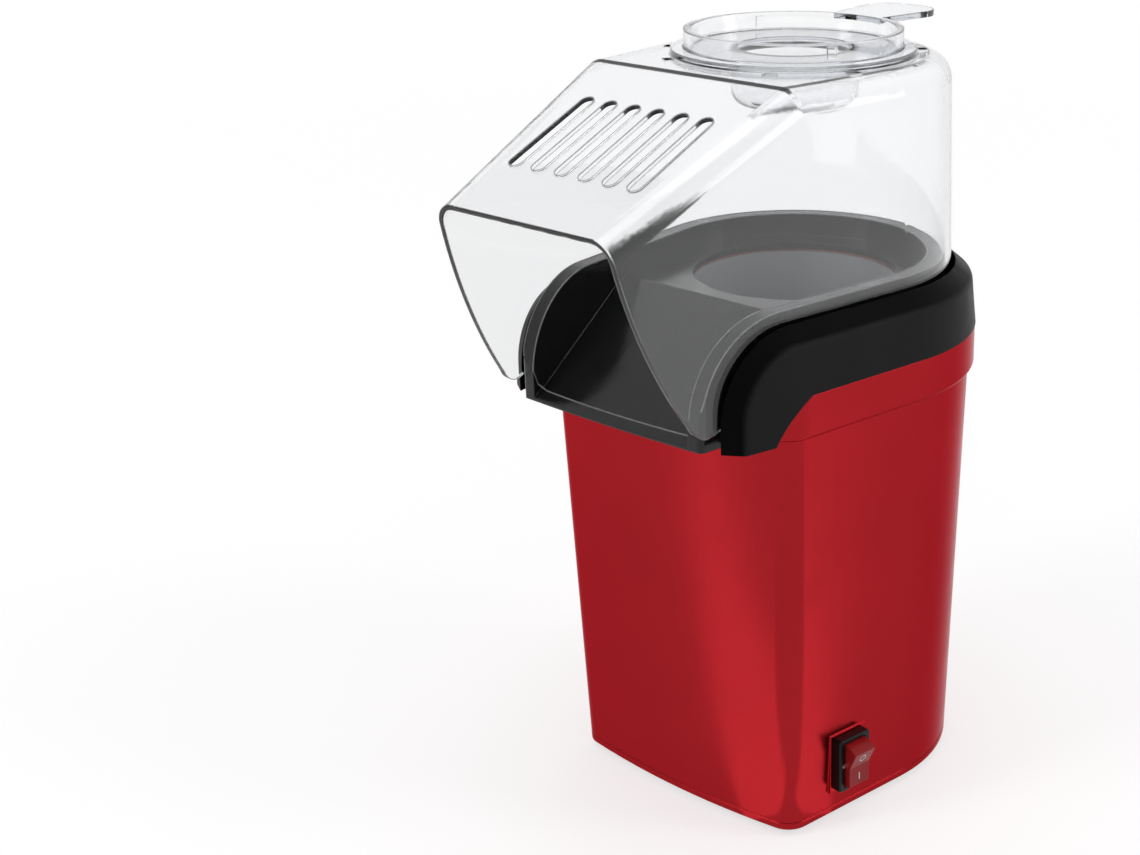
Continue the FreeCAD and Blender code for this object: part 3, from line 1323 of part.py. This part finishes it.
def main():
    """Write one STEP file per node."""
    os.makedirs("parts", exist_ok=True)
    for name, shape in build().items():
        shape.translate(FRAME_SHIFT)
        shape.exportStep(os.path.join("parts", name + ".step"))
        solids = len(shape.Solids)
        print(name, "solids", solids, "valid", shape.isValid(), "volume", round(shape.Volume, 1))


if __name__ == "__main__":
    main()
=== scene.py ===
import math

import bmesh
import bpy
from mathutils import Matrix, Vector
from mathutils.bvhtree import BVHTree


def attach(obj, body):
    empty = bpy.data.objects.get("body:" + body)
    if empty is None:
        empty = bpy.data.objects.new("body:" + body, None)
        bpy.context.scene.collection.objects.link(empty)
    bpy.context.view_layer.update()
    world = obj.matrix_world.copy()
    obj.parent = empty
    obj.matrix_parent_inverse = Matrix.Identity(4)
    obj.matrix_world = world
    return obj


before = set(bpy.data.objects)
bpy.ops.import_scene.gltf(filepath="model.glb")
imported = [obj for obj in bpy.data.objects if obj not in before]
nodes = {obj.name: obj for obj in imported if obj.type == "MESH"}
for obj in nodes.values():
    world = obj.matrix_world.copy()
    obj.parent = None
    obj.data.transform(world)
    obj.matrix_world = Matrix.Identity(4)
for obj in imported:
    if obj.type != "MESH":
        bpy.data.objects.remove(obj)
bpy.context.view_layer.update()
scene = bpy.context.scene
scene.view_settings.view_transform = "Standard"

MM = 0.001
CHAMBER_Y = 0.0303

# Camera, in metres and, for its lens and sensor, millimetres
AZIMUTH = math.radians(39.83)
ELEVATION = math.radians(19.31)
CAMERA_AT = Vector((0.41193, -0.49825 + CHAMBER_Y, 0.37786))
LENS = 57.76
SENSOR = 36
SHIFT = (-0.1892, -0.0530)
CLIP_NEAR, CLIP_FAR = 0.01, 100


def add_camera():
    """Camera at the photograph's viewing angle."""
    data = bpy.data.cameras.new("camera")
    data.lens = LENS
    data.sensor_width = SENSOR
    data.sensor_fit = "HORIZONTAL"
    data.shift_x, data.shift_y = SHIFT
    data.clip_start, data.clip_end = CLIP_NEAR, CLIP_FAR
    cam = bpy.data.objects.new("camera", data)
    back = Vector((math.sin(AZIMUTH) * math.cos(ELEVATION),
                   -math.cos(AZIMUTH) * math.cos(ELEVATION), math.sin(ELEVATION)))
    cam.location = CAMERA_AT
    cam.rotation_mode = "QUATERNION"
    cam.rotation_quaternion = (-back).to_track_quat("-Z", "Y")
    scene.collection.objects.link(cam)
    scene.camera = cam


class Nodes:
    """Small helper that adds and links shader nodes."""

    def __init__(self, tree):
        self.tree = tree
        tree.nodes.clear()

    def add(self, kind, values=None, **props):
        node = self.tree.nodes.new(kind)
        for key, value in props.items():
            setattr(node, key, value)
        for key, value in (values or {}).items():
            if isinstance(value, bpy.types.NodeSocket):
                self.tree.links.new(value, node.inputs[key])
            else:
                node.inputs[key].default_value = value
        return node


def rgba(colour):
    """Opaque colour from red, green and blue."""
    return (*colour, 1.0)


def grey(tone):
    """Opaque grey."""
    return rgba((tone, tone, tone))


WHITE = grey(1.0)


def seen_rays(n):
    """One for rays that show the backdrop: camera, glossy and transmission rays."""
    path = n.add("ShaderNodeLightPath").outputs
    first = n.add("ShaderNodeMath", {0: path["Is Camera Ray"], 1: path["Is Glossy Ray"]},
                  operation="MAXIMUM")
    both = n.add("ShaderNodeMath", {0: first.outputs[0], 1: path["Is Transmission Ray"]},
                 operation="MAXIMUM")
    return both.outputs[0]


# Strength of the surround as a light and as a backdrop
SURROUND_LIGHT, SURROUND_SHOWN = 0.35, 1.0


def add_world():
    """White surround, dimmer as a light than as a backdrop."""
    world = bpy.data.worlds.new("studio")
    scene.world = world
    world.use_nodes = True
    n = Nodes(world.node_tree)
    light = n.add("ShaderNodeBackground", {"Color": WHITE, "Strength": SURROUND_LIGHT})
    shown = n.add("ShaderNodeBackground", {"Color": WHITE, "Strength": SURROUND_SHOWN})
    mix = n.add("ShaderNodeMixShader", {0: seen_rays(n), 1: light.outputs[0], 2: shown.outputs[0]})
    n.add("ShaderNodeOutputWorld", {"Surface": mix.outputs[0]})


# Floor: its glow keeps it white as far as it is seen
FLOOR_HALF = 3.0
FLOOR_PLAIN_TONE = 0.8
FLOOR_SEEN_TONE = 0.5
GLOW_FROM, GLOW_TO = 0.2, 3.0
GLOW_NEAR, GLOW_FAR = 0.65, 0.88


def add_floor():
    """Pale floor that keeps the object's shadow."""
    mesh = bpy.data.meshes.new("floor")
    half = FLOOR_HALF
    mesh.from_pydata([(-half, -half, 0), (half, -half, 0), (half, half, 0), (-half, half, 0)], [],
                     [(0, 1, 2, 3)])
    floor = bpy.data.objects.new("floor", mesh)
    scene.collection.objects.link(floor)
    mat = bpy.data.materials.new("floor")
    mat.use_nodes = True
    n = Nodes(mat.node_tree)
    plain = n.add("ShaderNodeBsdfDiffuse", {"Color": grey(FLOOR_PLAIN_TONE)})
    seen = n.add("ShaderNodeBsdfDiffuse", {"Color": grey(FLOOR_SEEN_TONE)})
    place = n.add("ShaderNodeTexCoord").outputs["Object"]
    away = n.add("ShaderNodeVectorMath", {0: place}, operation="LENGTH")
    rise = n.add("ShaderNodeMapRange", {
        "Value": away.outputs["Value"], "From Min": GLOW_FROM, "From Max": GLOW_TO,
        "To Min": GLOW_NEAR, "To Max": GLOW_FAR})
    glow = n.add("ShaderNodeEmission", {"Color": WHITE, "Strength": rise.outputs["Result"]})
    lit = n.add("ShaderNodeAddShader", {0: seen.outputs[0], 1: glow.outputs[0]})
    mix = n.add("ShaderNodeMixShader", {0: seen_rays(n), 1: plain.outputs[0], 2: lit.outputs[0]})
    n.add("ShaderNodeOutputMaterial", {"Surface": mix.outputs[0]})
    mesh.materials.append(mat)


def around(degrees, distance, height):
    """Point round the object by azimuth, as the views count it."""
    a = math.radians(degrees)
    return (math.sin(a) * distance, -math.cos(a) * distance, height)


# Lamps: place, aim, size in metres and power in watts
LAMPS = {
    "key": (around(-22, 1.5, 1.0), (0, 0, 0.14), (0.5, 1.3), 7),
    "side": (around(118, 1.4, 0.75), (0, 0, 0.14), (0.45, 1.2), 5),
    "top": ((0.0, 0.1, 1.9), (0, 0, 0.1), (1.2, 1.2), 7),
}
# Light cards: start, direction, width, length and glow
CARDS = {
    "front_card": ((0.050, -0.050), (-0.672, -0.740), 0.045, 0.42, 0.58),
    "side_card": ((0.064, -0.026), (0.812, 0.583), 0.030, 0.42, 0.60),
}
CARD_Z = 0.002


def add_lamp(name, at, aim, size, power):
    """Soft rectangular lamp."""
    data = bpy.data.lights.new(name, "AREA")
    data.shape = "RECTANGLE"
    data.size, data.size_y = size
    data.energy = power
    lamp = bpy.data.objects.new(name, data)
    lamp.location = at
    lamp.rotation_mode = "QUATERNION"
    lamp.rotation_quaternion = (Vector(aim) - Vector(at)).to_track_quat("-Z", "Y")
    scene.collection.objects.link(lamp)


def add_card(name, start, along, width, length, glow):
    """Low light card that only gleams in polished faces: it lies flat and faces up."""
    data = bpy.data.lights.new(name, "AREA")
    data.shape = "RECTANGLE"
    data.size, data.size_y = width, length
    data.energy = glow * math.pi * width * length
    card = bpy.data.objects.new(name, data)
    forth = Vector((*along, 0)).normalized()
    face = Vector((0, 0, -1))
    across = forth.cross(face)
    at = Vector((*start, CARD_Z)) + forth * (length / 2)
    card.matrix_world = Matrix((
        (across.x, forth.x, face.x, at.x), (across.y, forth.y, face.y, at.y),
        (across.z, forth.z, face.z, at.z), (0, 0, 0, 1)))
    card.visible_diffuse = False
    card.visible_transmission = False
    card.visible_camera = False
    scene.collection.objects.link(card)


# Collar: painted shade, its colour darkened to deep black on the sloped shoulder, charcoal on the
# sides
SHOULDER_SHADE_TONE = 0.08
SHOULDER_TURN, SIDE_TURN = 0.70, 0.96
LEAST_BACK = -0.007


def painted_shade_share(n, place, normal):
    """Painted shade: full tone where a face turns sideways, darkened on the slope above."""
    spot = n.add("ShaderNodeSeparateXYZ", {0: place}).outputs
    behind = n.add("ShaderNodeMath", {0: spot["Y"], 1: CHAMBER_Y}, operation="SUBTRACT")
    back = n.add("ShaderNodeMath", {0: behind.outputs[0], 1: LEAST_BACK}, operation="MAXIMUM")
    away = n.add("ShaderNodeCombineXYZ", {"X": spot["X"], "Y": back.outputs[0]})
    out = n.add("ShaderNodeVectorMath", {0: away.outputs[0]}, operation="NORMALIZE")
    turn = n.add("ShaderNodeVectorMath", {0: out.outputs[0], 1: normal}, operation="DOT_PRODUCT")
    share = n.add("ShaderNodeMapRange", {
        "Value": turn.outputs["Value"], "From Min": SHOULDER_TURN, "From Max": SIDE_TURN,
        "To Min": SHOULDER_SHADE_TONE, "To Max": 1.0})
    return share.outputs["Result"]


# Span of the noise that tones and gloss are spread over
NOISE_LOW, NOISE_HIGH = 0.3, 0.7
TONE_DETAIL, WEAR_DETAIL, GRAIN_DETAIL = 4.0, 6.0, 2.0
WEAR_FINER = 6
GRAIN_DEPTH = 0.2 * MM
EDGE_SAMPLES = 6


def surface(name, colour, spread, rough, rough_spread, scale, bump=0.0, bump_scale=1200.0,
            edge=0.0, shoulder=False, **sockets):
    """Opaque procedural finish: cloudy tone, varied gloss and a fine moulded or painted grain."""
    mat = bpy.data.materials.new(name)
    mat.use_nodes = True
    n = Nodes(mat.node_tree)
    place = n.add("ShaderNodeTexCoord").outputs["Object"]
    cloud = n.add("ShaderNodeTexNoise", {"Vector": place, "Scale": scale, "Detail": TONE_DETAIL})
    tone = n.add("ShaderNodeValToRGB", {"Fac": cloud.outputs["Fac"]})
    low = [c * (1 - spread) for c in colour]
    high = [min(1.0, c * (1 + spread)) for c in colour]
    tone.color_ramp.elements[0].position = NOISE_LOW
    tone.color_ramp.elements[1].position = NOISE_HIGH
    tone.color_ramp.elements[0].color = rgba(low)
    tone.color_ramp.elements[1].color = rgba(high)
    wear = n.add("ShaderNodeTexNoise", {
        "Vector": place, "Scale": scale * WEAR_FINER, "Detail": WEAR_DETAIL})
    gloss = n.add("ShaderNodeMapRange", {
        "Value": wear.outputs["Fac"], "From Min": NOISE_LOW, "From Max": NOISE_HIGH,
        "To Min": rough - rough_spread, "To Max": rough + rough_spread})
    values = {"Base Color": tone.outputs["Color"], "Roughness": gloss.outputs["Result"]}
    # painted shade: the base colour is darkened on the collar's sloped shoulder
    if shoulder:
        facing = n.add("ShaderNodeTexCoord").outputs["Normal"]
        shoulder_shade = n.add("ShaderNodeVectorMath", {
            0: tone.outputs["Color"], "Scale": painted_shade_share(n, place, facing)}, operation="SCALE")
        values["Base Color"] = shoulder_shade.outputs["Vector"]
    values.update(sockets)
    normal = None
    if edge:
        normal = n.add("ShaderNodeBevel", {"Radius": edge}, samples=EDGE_SAMPLES).outputs["Normal"]
    if bump:
        grain = n.add("ShaderNodeTexNoise", {
            "Vector": place, "Scale": bump_scale, "Detail": GRAIN_DETAIL})
        relief = {"Height": grain.outputs["Fac"], "Strength": bump, "Distance": GRAIN_DEPTH}
        if normal:
            relief["Normal"] = normal
        normal = n.add("ShaderNodeBump", relief).outputs["Normal"]
    if normal:
        values["Normal"] = normal
    shader = n.add("ShaderNodeBsdfPrincipled", values)
    n.add("ShaderNodeOutputMaterial", {"Surface": shader.outputs["BSDF"]})
    return mat


# Clear plastic: tints face on and edge on, haze, shadow and depth tint
CLEAR_FACE = (0.98, 0.983, 0.987)
CLEAR_RIM = (0.62, 0.64, 0.70)
CLEAR_TURN, CLEAR_TURN_FROM = 0.25, 0.35
CLEAR_SHADOW = (0.93, 0.94, 0.95)
CLEAR_DEPTH = (0.36, 0.40, 0.47)
CLEAR_IOR = 1.47
CLEAR_EDGE = 0.9 * MM
HAZE_SCALE, HAZE_DETAIL = 60.0, 3.0
HAZE_LOW, HAZE_HIGH = 0.6, 1.4


def clear_surface(name, rough, density):
    """Clear plastic: thin haze, darker where seen edge on, and no hard shadow."""
    mat = bpy.data.materials.new(name)
    mat.use_nodes = True
    n = Nodes(mat.node_tree)
    place = n.add("ShaderNodeTexCoord").outputs["Object"]
    haze = n.add("ShaderNodeTexNoise", {
        "Vector": place, "Scale": HAZE_SCALE, "Detail": HAZE_DETAIL})
    gloss = n.add("ShaderNodeMapRange", {
        "Value": haze.outputs["Fac"], "From Min": NOISE_LOW, "From Max": NOISE_HIGH,
        "To Min": rough * HAZE_LOW, "To Max": rough * HAZE_HIGH})
    turn = n.add("ShaderNodeLayerWeight", {"Blend": CLEAR_TURN})
    tint = n.add("ShaderNodeValToRGB", {"Fac": turn.outputs["Facing"]})
    tint.color_ramp.elements[0].color = rgba(CLEAR_FACE)
    tint.color_ramp.elements[0].position = CLEAR_TURN_FROM
    tint.color_ramp.elements[1].color = rgba(CLEAR_RIM)
    soft = n.add("ShaderNodeBevel", {"Radius": CLEAR_EDGE}, samples=EDGE_SAMPLES)
    body = n.add("ShaderNodeBsdfPrincipled", {
        "Base Color": tint.outputs["Color"], "Roughness": gloss.outputs["Result"],
        "Transmission Weight": 1.0, "IOR": CLEAR_IOR, "Normal": soft.outputs["Normal"]})
    through = n.add("ShaderNodeBsdfTransparent", {"Color": rgba(CLEAR_SHADOW)})
    path = n.add("ShaderNodeLightPath").outputs
    light = n.add("ShaderNodeMath", {0: path["Is Shadow Ray"], 1: path["Is Diffuse Ray"]},
                  operation="MAXIMUM")
    mix = n.add("ShaderNodeMixShader", {
        0: light.outputs[0], 1: body.outputs["BSDF"], 2: through.outputs[0]})
    depth = n.add("ShaderNodeVolumeAbsorption", {"Color": rgba(CLEAR_DEPTH), "Density": density})
    n.add("ShaderNodeOutputMaterial", {"Surface": mix.outputs[0], "Volume": depth.outputs[0]})
    return mat


METAL = {"Metallic": 1.0}


def finishes():
    """Material of every CAD node."""
    red = surface("red_metallic", (0.325, 0.0134, 0.0176), spread=0.05, rough=0.22,
                  rough_spread=0.03, scale=14, bump=0.04, bump_scale=2600, edge=0.6 * MM,
                  **METAL, **{"Specular Tint": (0.85, 0.50, 0.52, 1)})
    # collar: black satin, with painted shade on its sloped shoulder
    black = surface("collar_satin_shoulder_shade", (0.020, 0.020, 0.0206), spread=0.12, rough=0.40,
                    rough_spread=0.05, scale=18, bump=0.10, bump_scale=3200, edge=0.8 * MM,
                    shoulder=True, **{"Specular IOR Level": 0.03})
    chute = surface("chute_gloss", (0.009, 0.009, 0.0094), spread=0.1, rough=0.17,
                    rough_spread=0.04, scale=20, bump=0.03, bump_scale=1800, edge=0.6 * MM,
                    **{"Specular IOR Level": 0.3})
    clear = clear_surface("hood_clear", rough=0.005, density=20)
    cup = clear_surface("cup_clear", rough=0.006, density=22)
    alu = surface("chamber_aluminium", (0.42, 0.42, 0.435), spread=0.06, rough=0.50,
                  rough_spread=0.06, scale=40, bump=0.04, bump_scale=900, **{"Metallic": 0.4})
    duct = surface("duct_steel", (0.5, 0.5, 0.51), spread=0.12, rough=0.42, rough_spread=0.1,
                   scale=60, bump=0.06, **METAL)
    steel = surface("steel", (0.55, 0.55, 0.56), spread=0.08, rough=0.3, rough_spread=0.08,
                    scale=120, bump=0.05, **METAL)
    wire = surface("heater_wire", (0.36, 0.34, 0.33), spread=0.2, rough=0.45, rough_spread=0.1,
                   scale=150, bump=0.1, **METAL)
    bronze = surface("bronze", (0.62, 0.42, 0.18), spread=0.12, rough=0.35, rough_spread=0.08,
                     scale=150, bump=0.05, **METAL)
    seal = surface("seal_silicone", (0.35, 0.10, 0.06), spread=0.12, rough=0.6, rough_spread=0.08,
                   scale=60, bump=0.1)
    mica = surface("mica", (0.5, 0.42, 0.3), spread=0.25, rough=0.5, rough_spread=0.12, scale=90,
                   bump=0.1)
    inner_black = surface("inner_black", (0.018, 0.018, 0.019), spread=0.15, rough=0.48,
                          rough_spread=0.08, scale=40, bump=0.12, bump_scale=1500)
    bezel = surface("bezel_black", (0.006, 0.006, 0.0063), spread=0.12, rough=0.36,
                    rough_spread=0.05, scale=60, bump=0.04, bump_scale=2500, edge=0.4 * MM,
                    **{"Specular IOR Level": 0.15})
    fan = surface("fan_plastic", (0.09, 0.09, 0.09), spread=0.15, rough=0.45, rough_spread=0.08,
                  scale=40, bump=0.08)
    magnet = surface("magnet", (0.05, 0.05, 0.05), spread=0.2, rough=0.6, rough_spread=0.1,
                     scale=120, bump=0.12)
    board = surface("board", (0.04, 0.17, 0.07), spread=0.18, rough=0.4, rough_spread=0.08,
                    scale=200, bump=0.06)
    diode = surface("diode", (0.025, 0.025, 0.025), spread=0.15, rough=0.4, rough_spread=0.06,
                    scale=200, bump=0.05)
    rubber = surface("foot_rubber", (0.02, 0.02, 0.02), spread=0.18, rough=0.75, rough_spread=0.1,
                     scale=80, bump=0.18)
    rocker = surface("rocker_red", (0.31, 0.009, 0.011), spread=0.08, rough=0.30,
                     rough_spread=0.04, scale=200, edge=0.4 * MM, **{"Specular IOR Level": 0.18})
    return {
        red: ["outer_housing", "upper_band"],
        black: ["collar"],
        chute: ["chute_tray"],
        clear: ["hood"],
        cup: ["measuring_cup"],
        alu: ["popping_chamber"],
        seal: ["chamber_seal"],
        duct: ["heater_casing", "thermal_fuse"],
        mica: ["heater_frame"],
        wire: ["heater_coil"],
        inner_black: ["thermostat", "motor_end_cap", "fan_housing", "base_plate", "cord_gland"],
        bezel: ["switch_frame"],
        fan: ["fan_impeller"],
        steel: ["motor_shaft", "motor_can", "motor_armature", "switch_pin", "base_screws",
                "band_screws", "collar_screws", "chute_screws", "chamber_screws", "duct_screws",
                "motor_screws"],
        bronze: ["motor_bushes", "motor_terminals", "switch_terminals"],
        magnet: ["motor_magnets"],
        board: ["rectifier_board"],
        diode: ["rectifier_diodes"],
        rubber: ["rubber_feet"],
        rocker: ["switch_rocker"],
    }


def dress():
    """Give every CAD node its finish."""
    for mat, names in finishes().items():
        for name in names:
            mesh = nodes[name].data
            mesh.materials.clear()
            mesh.materials.append(mat)


# Rocker switch marks
SIDE = math.radians(7.7)
PIN_AT = Vector((0.0603336, -0.038202 + CHAMBER_Y, 0.024))
SWITCH_OUT = Vector((math.cos(SIDE), -math.sin(SIDE), 0))
SWITCH_ALONG = Vector((math.sin(SIDE), math.cos(SIDE), 0))
UP = Vector((0, 0, 1))
ROCKER_VALLEY = 2.9 * MM
ROCKER_FACET = math.radians(13)
ROCKER_TILT = math.radians(12)
MARK_ALONG = 4.2 * MM
MARK_LOW, MARK_HIGH = -0.06 * MM, 0.09 * MM
O_OUTER = (1.45 * MM, 1.65 * MM)
O_INNER = (1.08 * MM, 1.28 * MM)
O_STEPS = 40
I_HALF_W, I_HALF_L = 0.22 * MM, 1.5 * MM
BAR_FACE = (0.85, 0.97)     # share of a bar's width and length that its raised face keeps
BAR_ROUND_STEPS = 8


def rocker_place(side, along):
    """Place on the rocker's face: a frame at a distance along the upper (1) or lower (-1) half."""
    face = Vector((math.sin(ROCKER_FACET), math.cos(ROCKER_FACET) * side))
    spot = Vector((ROCKER_VALLEY, 0)) + face * along
    normal = Vector((math.cos(ROCKER_FACET), -math.sin(ROCKER_FACET) * side))

    def tilted(p):
        c, s = math.cos(ROCKER_TILT), math.sin(ROCKER_TILT)
        return SWITCH_OUT * (p.x * c + p.y * s) + UP * (-p.x * s + p.y * c)

    up = tilted(face * side)
    out = tilted(normal)
    at = PIN_AT + tilted(spot)
    return Matrix((
        (SWITCH_ALONG.x, up.x, out.x, at.x), (SWITCH_ALONG.y, up.y, out.y, at.y),
        (SWITCH_ALONG.z, up.z, out.z, at.z), (0, 0, 0, 1)))


def loop_piece(name, sections, place, mat, closed=True):
    """Closed sections joined in a row, end to end or with capped ends, as one mesh piece."""
    mesh = bpy.data.meshes.new(name)
    bm = bmesh.new()
    rings = [[bm.verts.new(p) for p in section] for section in sections]
    count = len(rings[0])
    for k in range(len(rings) if closed else len(rings) - 1):
        ring, after = rings[k], rings[(k + 1) % len(rings)]
        for j in range(count):
            bm.faces.new((ring[j], ring[(j + 1) % count], after[(j + 1) % count], after[j]))
    if not closed:
        bm.faces.new(rings[0])
        bm.faces.new(rings[-1])
    bmesh.ops.recalc_face_normals(bm, faces=bm.faces)
    bm.to_mesh(mesh)
    bm.free()
    mesh.materials.append(mat)
    piece = bpy.data.objects.new(name, mesh)
    piece.matrix_world = place
    scene.collection.objects.link(piece)
    return piece


def bar_piece(name, size, place, mat):
    """Flat bar with rounded ends and a bevelled face."""
    mesh = bpy.data.meshes.new(name)
    bm = bmesh.new()
    half_w, half_l, low, high = size
    outline = []
    for end in (1, -1):
        for k in range(BAR_ROUND_STEPS + 1):
            a = math.pi * k / BAR_ROUND_STEPS
            outline.append((end * half_w * math.cos(a),
                            end * (half_l - half_w + half_w * math.sin(a))))
    bottom = [bm.verts.new((x, y, low)) for x, y in outline]
    top = [bm.verts.new((x * BAR_FACE[0], y * BAR_FACE[1], high)) for x, y in outline]
    count = len(outline)
    for k in range(count):
        bm.faces.new((bottom[k], bottom[(k + 1) % count], top[(k + 1) % count], top[k]))
    bm.faces.new(top)
    bm.faces.new(list(reversed(bottom)))
    bmesh.ops.recalc_face_normals(bm, faces=bm.faces)
    bm.to_mesh(mesh)
    bm.free()
    mesh.materials.append(mat)
    piece = bpy.data.objects.new(name, mesh)
    piece.matrix_world = place
    scene.collection.objects.link(piece)
    return piece


def add_marks():
    """White O and I on the rocker."""
    ink = surface("mark_white", (0.78, 0.78, 0.77), spread=0.06, rough=0.5, rough_spread=0.06,
                  scale=400, bump=0.05)
    corners = [(O_OUTER, MARK_LOW), (O_OUTER, MARK_HIGH), (O_INNER, MARK_HIGH), (O_INNER, MARK_LOW)]
    sections = []
    for k in range(O_STEPS):
        a = 2 * math.pi * k / O_STEPS
        c, s = math.cos(a), math.sin(a)
        sections.append([(half[0] * c, half[1] * s, z) for half, z in corners])
    ring = loop_piece("rocker_mark_o", sections, rocker_place(1, MARK_ALONG), ink)
    bar = bar_piece("rocker_mark_i", (I_HALF_W, I_HALF_L, MARK_LOW, MARK_HIGH),
                    rocker_place(-1, MARK_ALONG), ink)
    for piece in (ring, bar):
        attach(piece, "rocker")


# Painted edge highlights of the chute: beads for its rounded edges, coloured light grey
WELD = 0.001 * MM
SHARP = math.radians(35)
LEAST_RIM_Z = 161.2 * MM
LIP_MIDDLE_Y = -67.6 * MM
LIP_BOW = 0.8 * MM
LIP_HALF = 36.1 * MM
LIP_LINE_IN = 3.70 * MM
LIP_LINE_HALF = 33.6 * MM
BEAD_R = 0.26 * MM
LIP_BEAD_R = 0.34 * MM
BEAD_SINK = 0.10 * MM
BEAD_SIDES = 8
LIP_STEPS, CORNER_STEPS = 36, 7
ABOVE_CHUTE = 190 * MM

# Painted shade lines on the edges of the hood's long vents
VENT_ROUND = 87.5 * MM
VENT_BEAD_R = 0.18 * MM
NEAR = 0.5 * MM


def grow(chain, at_end, todo):
    """Follow sharp edges on from one end of a chain, straightest first."""
    while True:
        tip, before = (chain[-1], chain[-2]) if at_end else (chain[0], chain[1])
        ahead = tip.co - before.co
        best = None
        for edge in tip.link_edges:
            if edge.index in todo:
                turn = (edge.other_vert(tip).co - tip.co).angle(ahead, math.pi)
                if turn < SHARP and (best is None or turn < best[0]):
                    best = (turn, edge)
        if best is None:
            return
        todo.pop(best[1].index)
        chain.insert(len(chain) if at_end else 0, best[1].other_vert(tip))


def chain_length(chain):
    """Length along a chain of points."""
    return sum((a.co - b.co).length for a, b in zip(chain, chain[1:]))


def sharp_chains(bm):
    """Chains of sharp outward edges, longest first."""
    todo = {e.index: e for e in bm.edges
            if len(e.link_faces) == 2 and e.calc_face_angle_signed(0.0) > SHARP}
    chains = []
    while todo:
        chain = list(todo.pop(min(todo)).verts)
        grow(chain, True, todo)
        grow(chain, False, todo)
        chains.append(chain)
    return sorted(chains, key=chain_length, reverse=True)


def bead_sections(path, closed):
    """Round sections along a path of points with their surface normals and radii."""
    sections = []
    last = len(path) - 1
    for k, (at, normal, radius) in enumerate(path):
        after = path[(k + 1) % len(path)] if closed or k < last else path[k]
        before = path[k - 1] if closed or k else path[k]
        ahead = (after[0] - before[0]).normalized()
        out = (normal - ahead * normal.dot(ahead)).normalized()
        side = ahead.cross(out)
        middle = at - out * BEAD_SINK
        turns = [2 * math.pi * j / BEAD_SIDES for j in range(BEAD_SIDES)]
        sections.append([middle + (out * math.cos(a) + side * math.sin(a)) * radius for a in turns])
    return sections


def lip_line(tree):
    """Painted highlight line across the ramp just behind the lip."""
    path = []
    for k in range(LIP_STEPS + 1):
        x = LIP_LINE_HALF * (2 * k / LIP_STEPS - 1)
        y = LIP_MIDDLE_Y + LIP_BOW * (x / LIP_HALF) ** 2 + LIP_LINE_IN
        at, normal, _, _ = tree.ray_cast(Vector((x, y, ABOVE_CHUTE)), -UP)
        path.append((at, normal, LIP_BEAD_R))
    return path


def corner_line(tree, first, last):
    """Painted highlight line down the inside of the chute between the rim's edge and the lip's line.
    """
    path = []
    for k in range(1, CORNER_STEPS):
        at, normal, _, _ = tree.find_nearest(first.lerp(last, k / CORNER_STEPS))
        path.append((at, normal, BEAD_R))
    return path


def welded(name):
    """Mesh of a CAD node in the shared frame, with its faces joined along their edges."""
    bm = bmesh.new()
    bm.from_mesh(nodes[name].data)
    bm.transform(nodes[name].matrix_world)
    bmesh.ops.remove_doubles(bm, verts=bm.verts, dist=WELD)
    bm.normal_update()
    bm.verts.index_update()
    bm.edges.index_update()
    return bm


def add_vent_edge_shade():
    """Painted shade: thin grey line round the outside of each long vent of the hood, where the clear
    edge bends the light.
    """
    bm = welded("hood")
    # painted shade: opaque grey standing in for the light the clear vent edge bends away
    mat = surface("vent_edge_painted_shade", (0.44, 0.44, 0.46), spread=0.1, rough=0.25, rough_spread=0.05,
                  scale=60)
    loops = []
    for chain in sharp_chains(bm):
        facing = sum(v.normal.z for v in chain) / len(chain)
        if facing > 0 and abs(chain_length(chain) - VENT_ROUND) < NEAR:
            loops.append([(v.co.copy(), v.normal.copy(), VENT_BEAD_R) for v in chain[:-1]])
    bm.free()
    loops.sort(key=lambda loop: sum(point[0].x for point in loop))
    for k, loop in enumerate(loops):
        piece = loop_piece(f"hood_vent_edge_{k}", bead_sections(loop, True), Matrix.Identity(4), mat)
        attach(piece, "hood")


def add_edge_highlights():
    """Beads on the chute's rounded edges, light grey as a painted highlight: round the inner rim and
    over the lip, and along the outer rim.
    """
    bm = welded("chute_tray")
    inner, outer = sharp_chains(bm)[:2]
    inner = [(v.co.copy(), v.normal.copy(), BEAD_R) for v in inner if v.co.z > LEAST_RIM_Z]
    outer = [(v.co.copy(), v.normal.copy(), BEAD_R) for v in outer]
    tree = BVHTree.FromBMesh(bm)
    across = lip_line(tree)
    if inner[-1][0].x > 0:
        across.reverse()
    across = (corner_line(tree, inner[-1][0], across[0][0]) + across
              + corner_line(tree, across[-1][0], inner[0][0]))
    bm.free()
    # painted highlight: light grey against the near-black chute
    mat = surface("painted_edge_highlight", (0.17, 0.17, 0.175), spread=0.1, rough=0.28, rough_spread=0.05,
                  scale=60)
    here = Matrix.Identity(4)
    pieces = [loop_piece("chute_inner_edge_highlight", bead_sections(inner + across, True), here, mat),
              loop_piece("chute_outer_edge_highlight", bead_sections(outer, False), here, mat, closed=False)]
    for piece in pieces:
        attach(piece, "base")


add_camera()
add_world()
add_floor()
for lamp_name, lamp_settings in LAMPS.items():
    add_lamp(lamp_name, *lamp_settings)
for card_name, card_settings in CARDS.items():
    add_card(card_name, *card_settings)
dress()
add_edge_highlights()
add_vent_edge_shade()
add_marks()
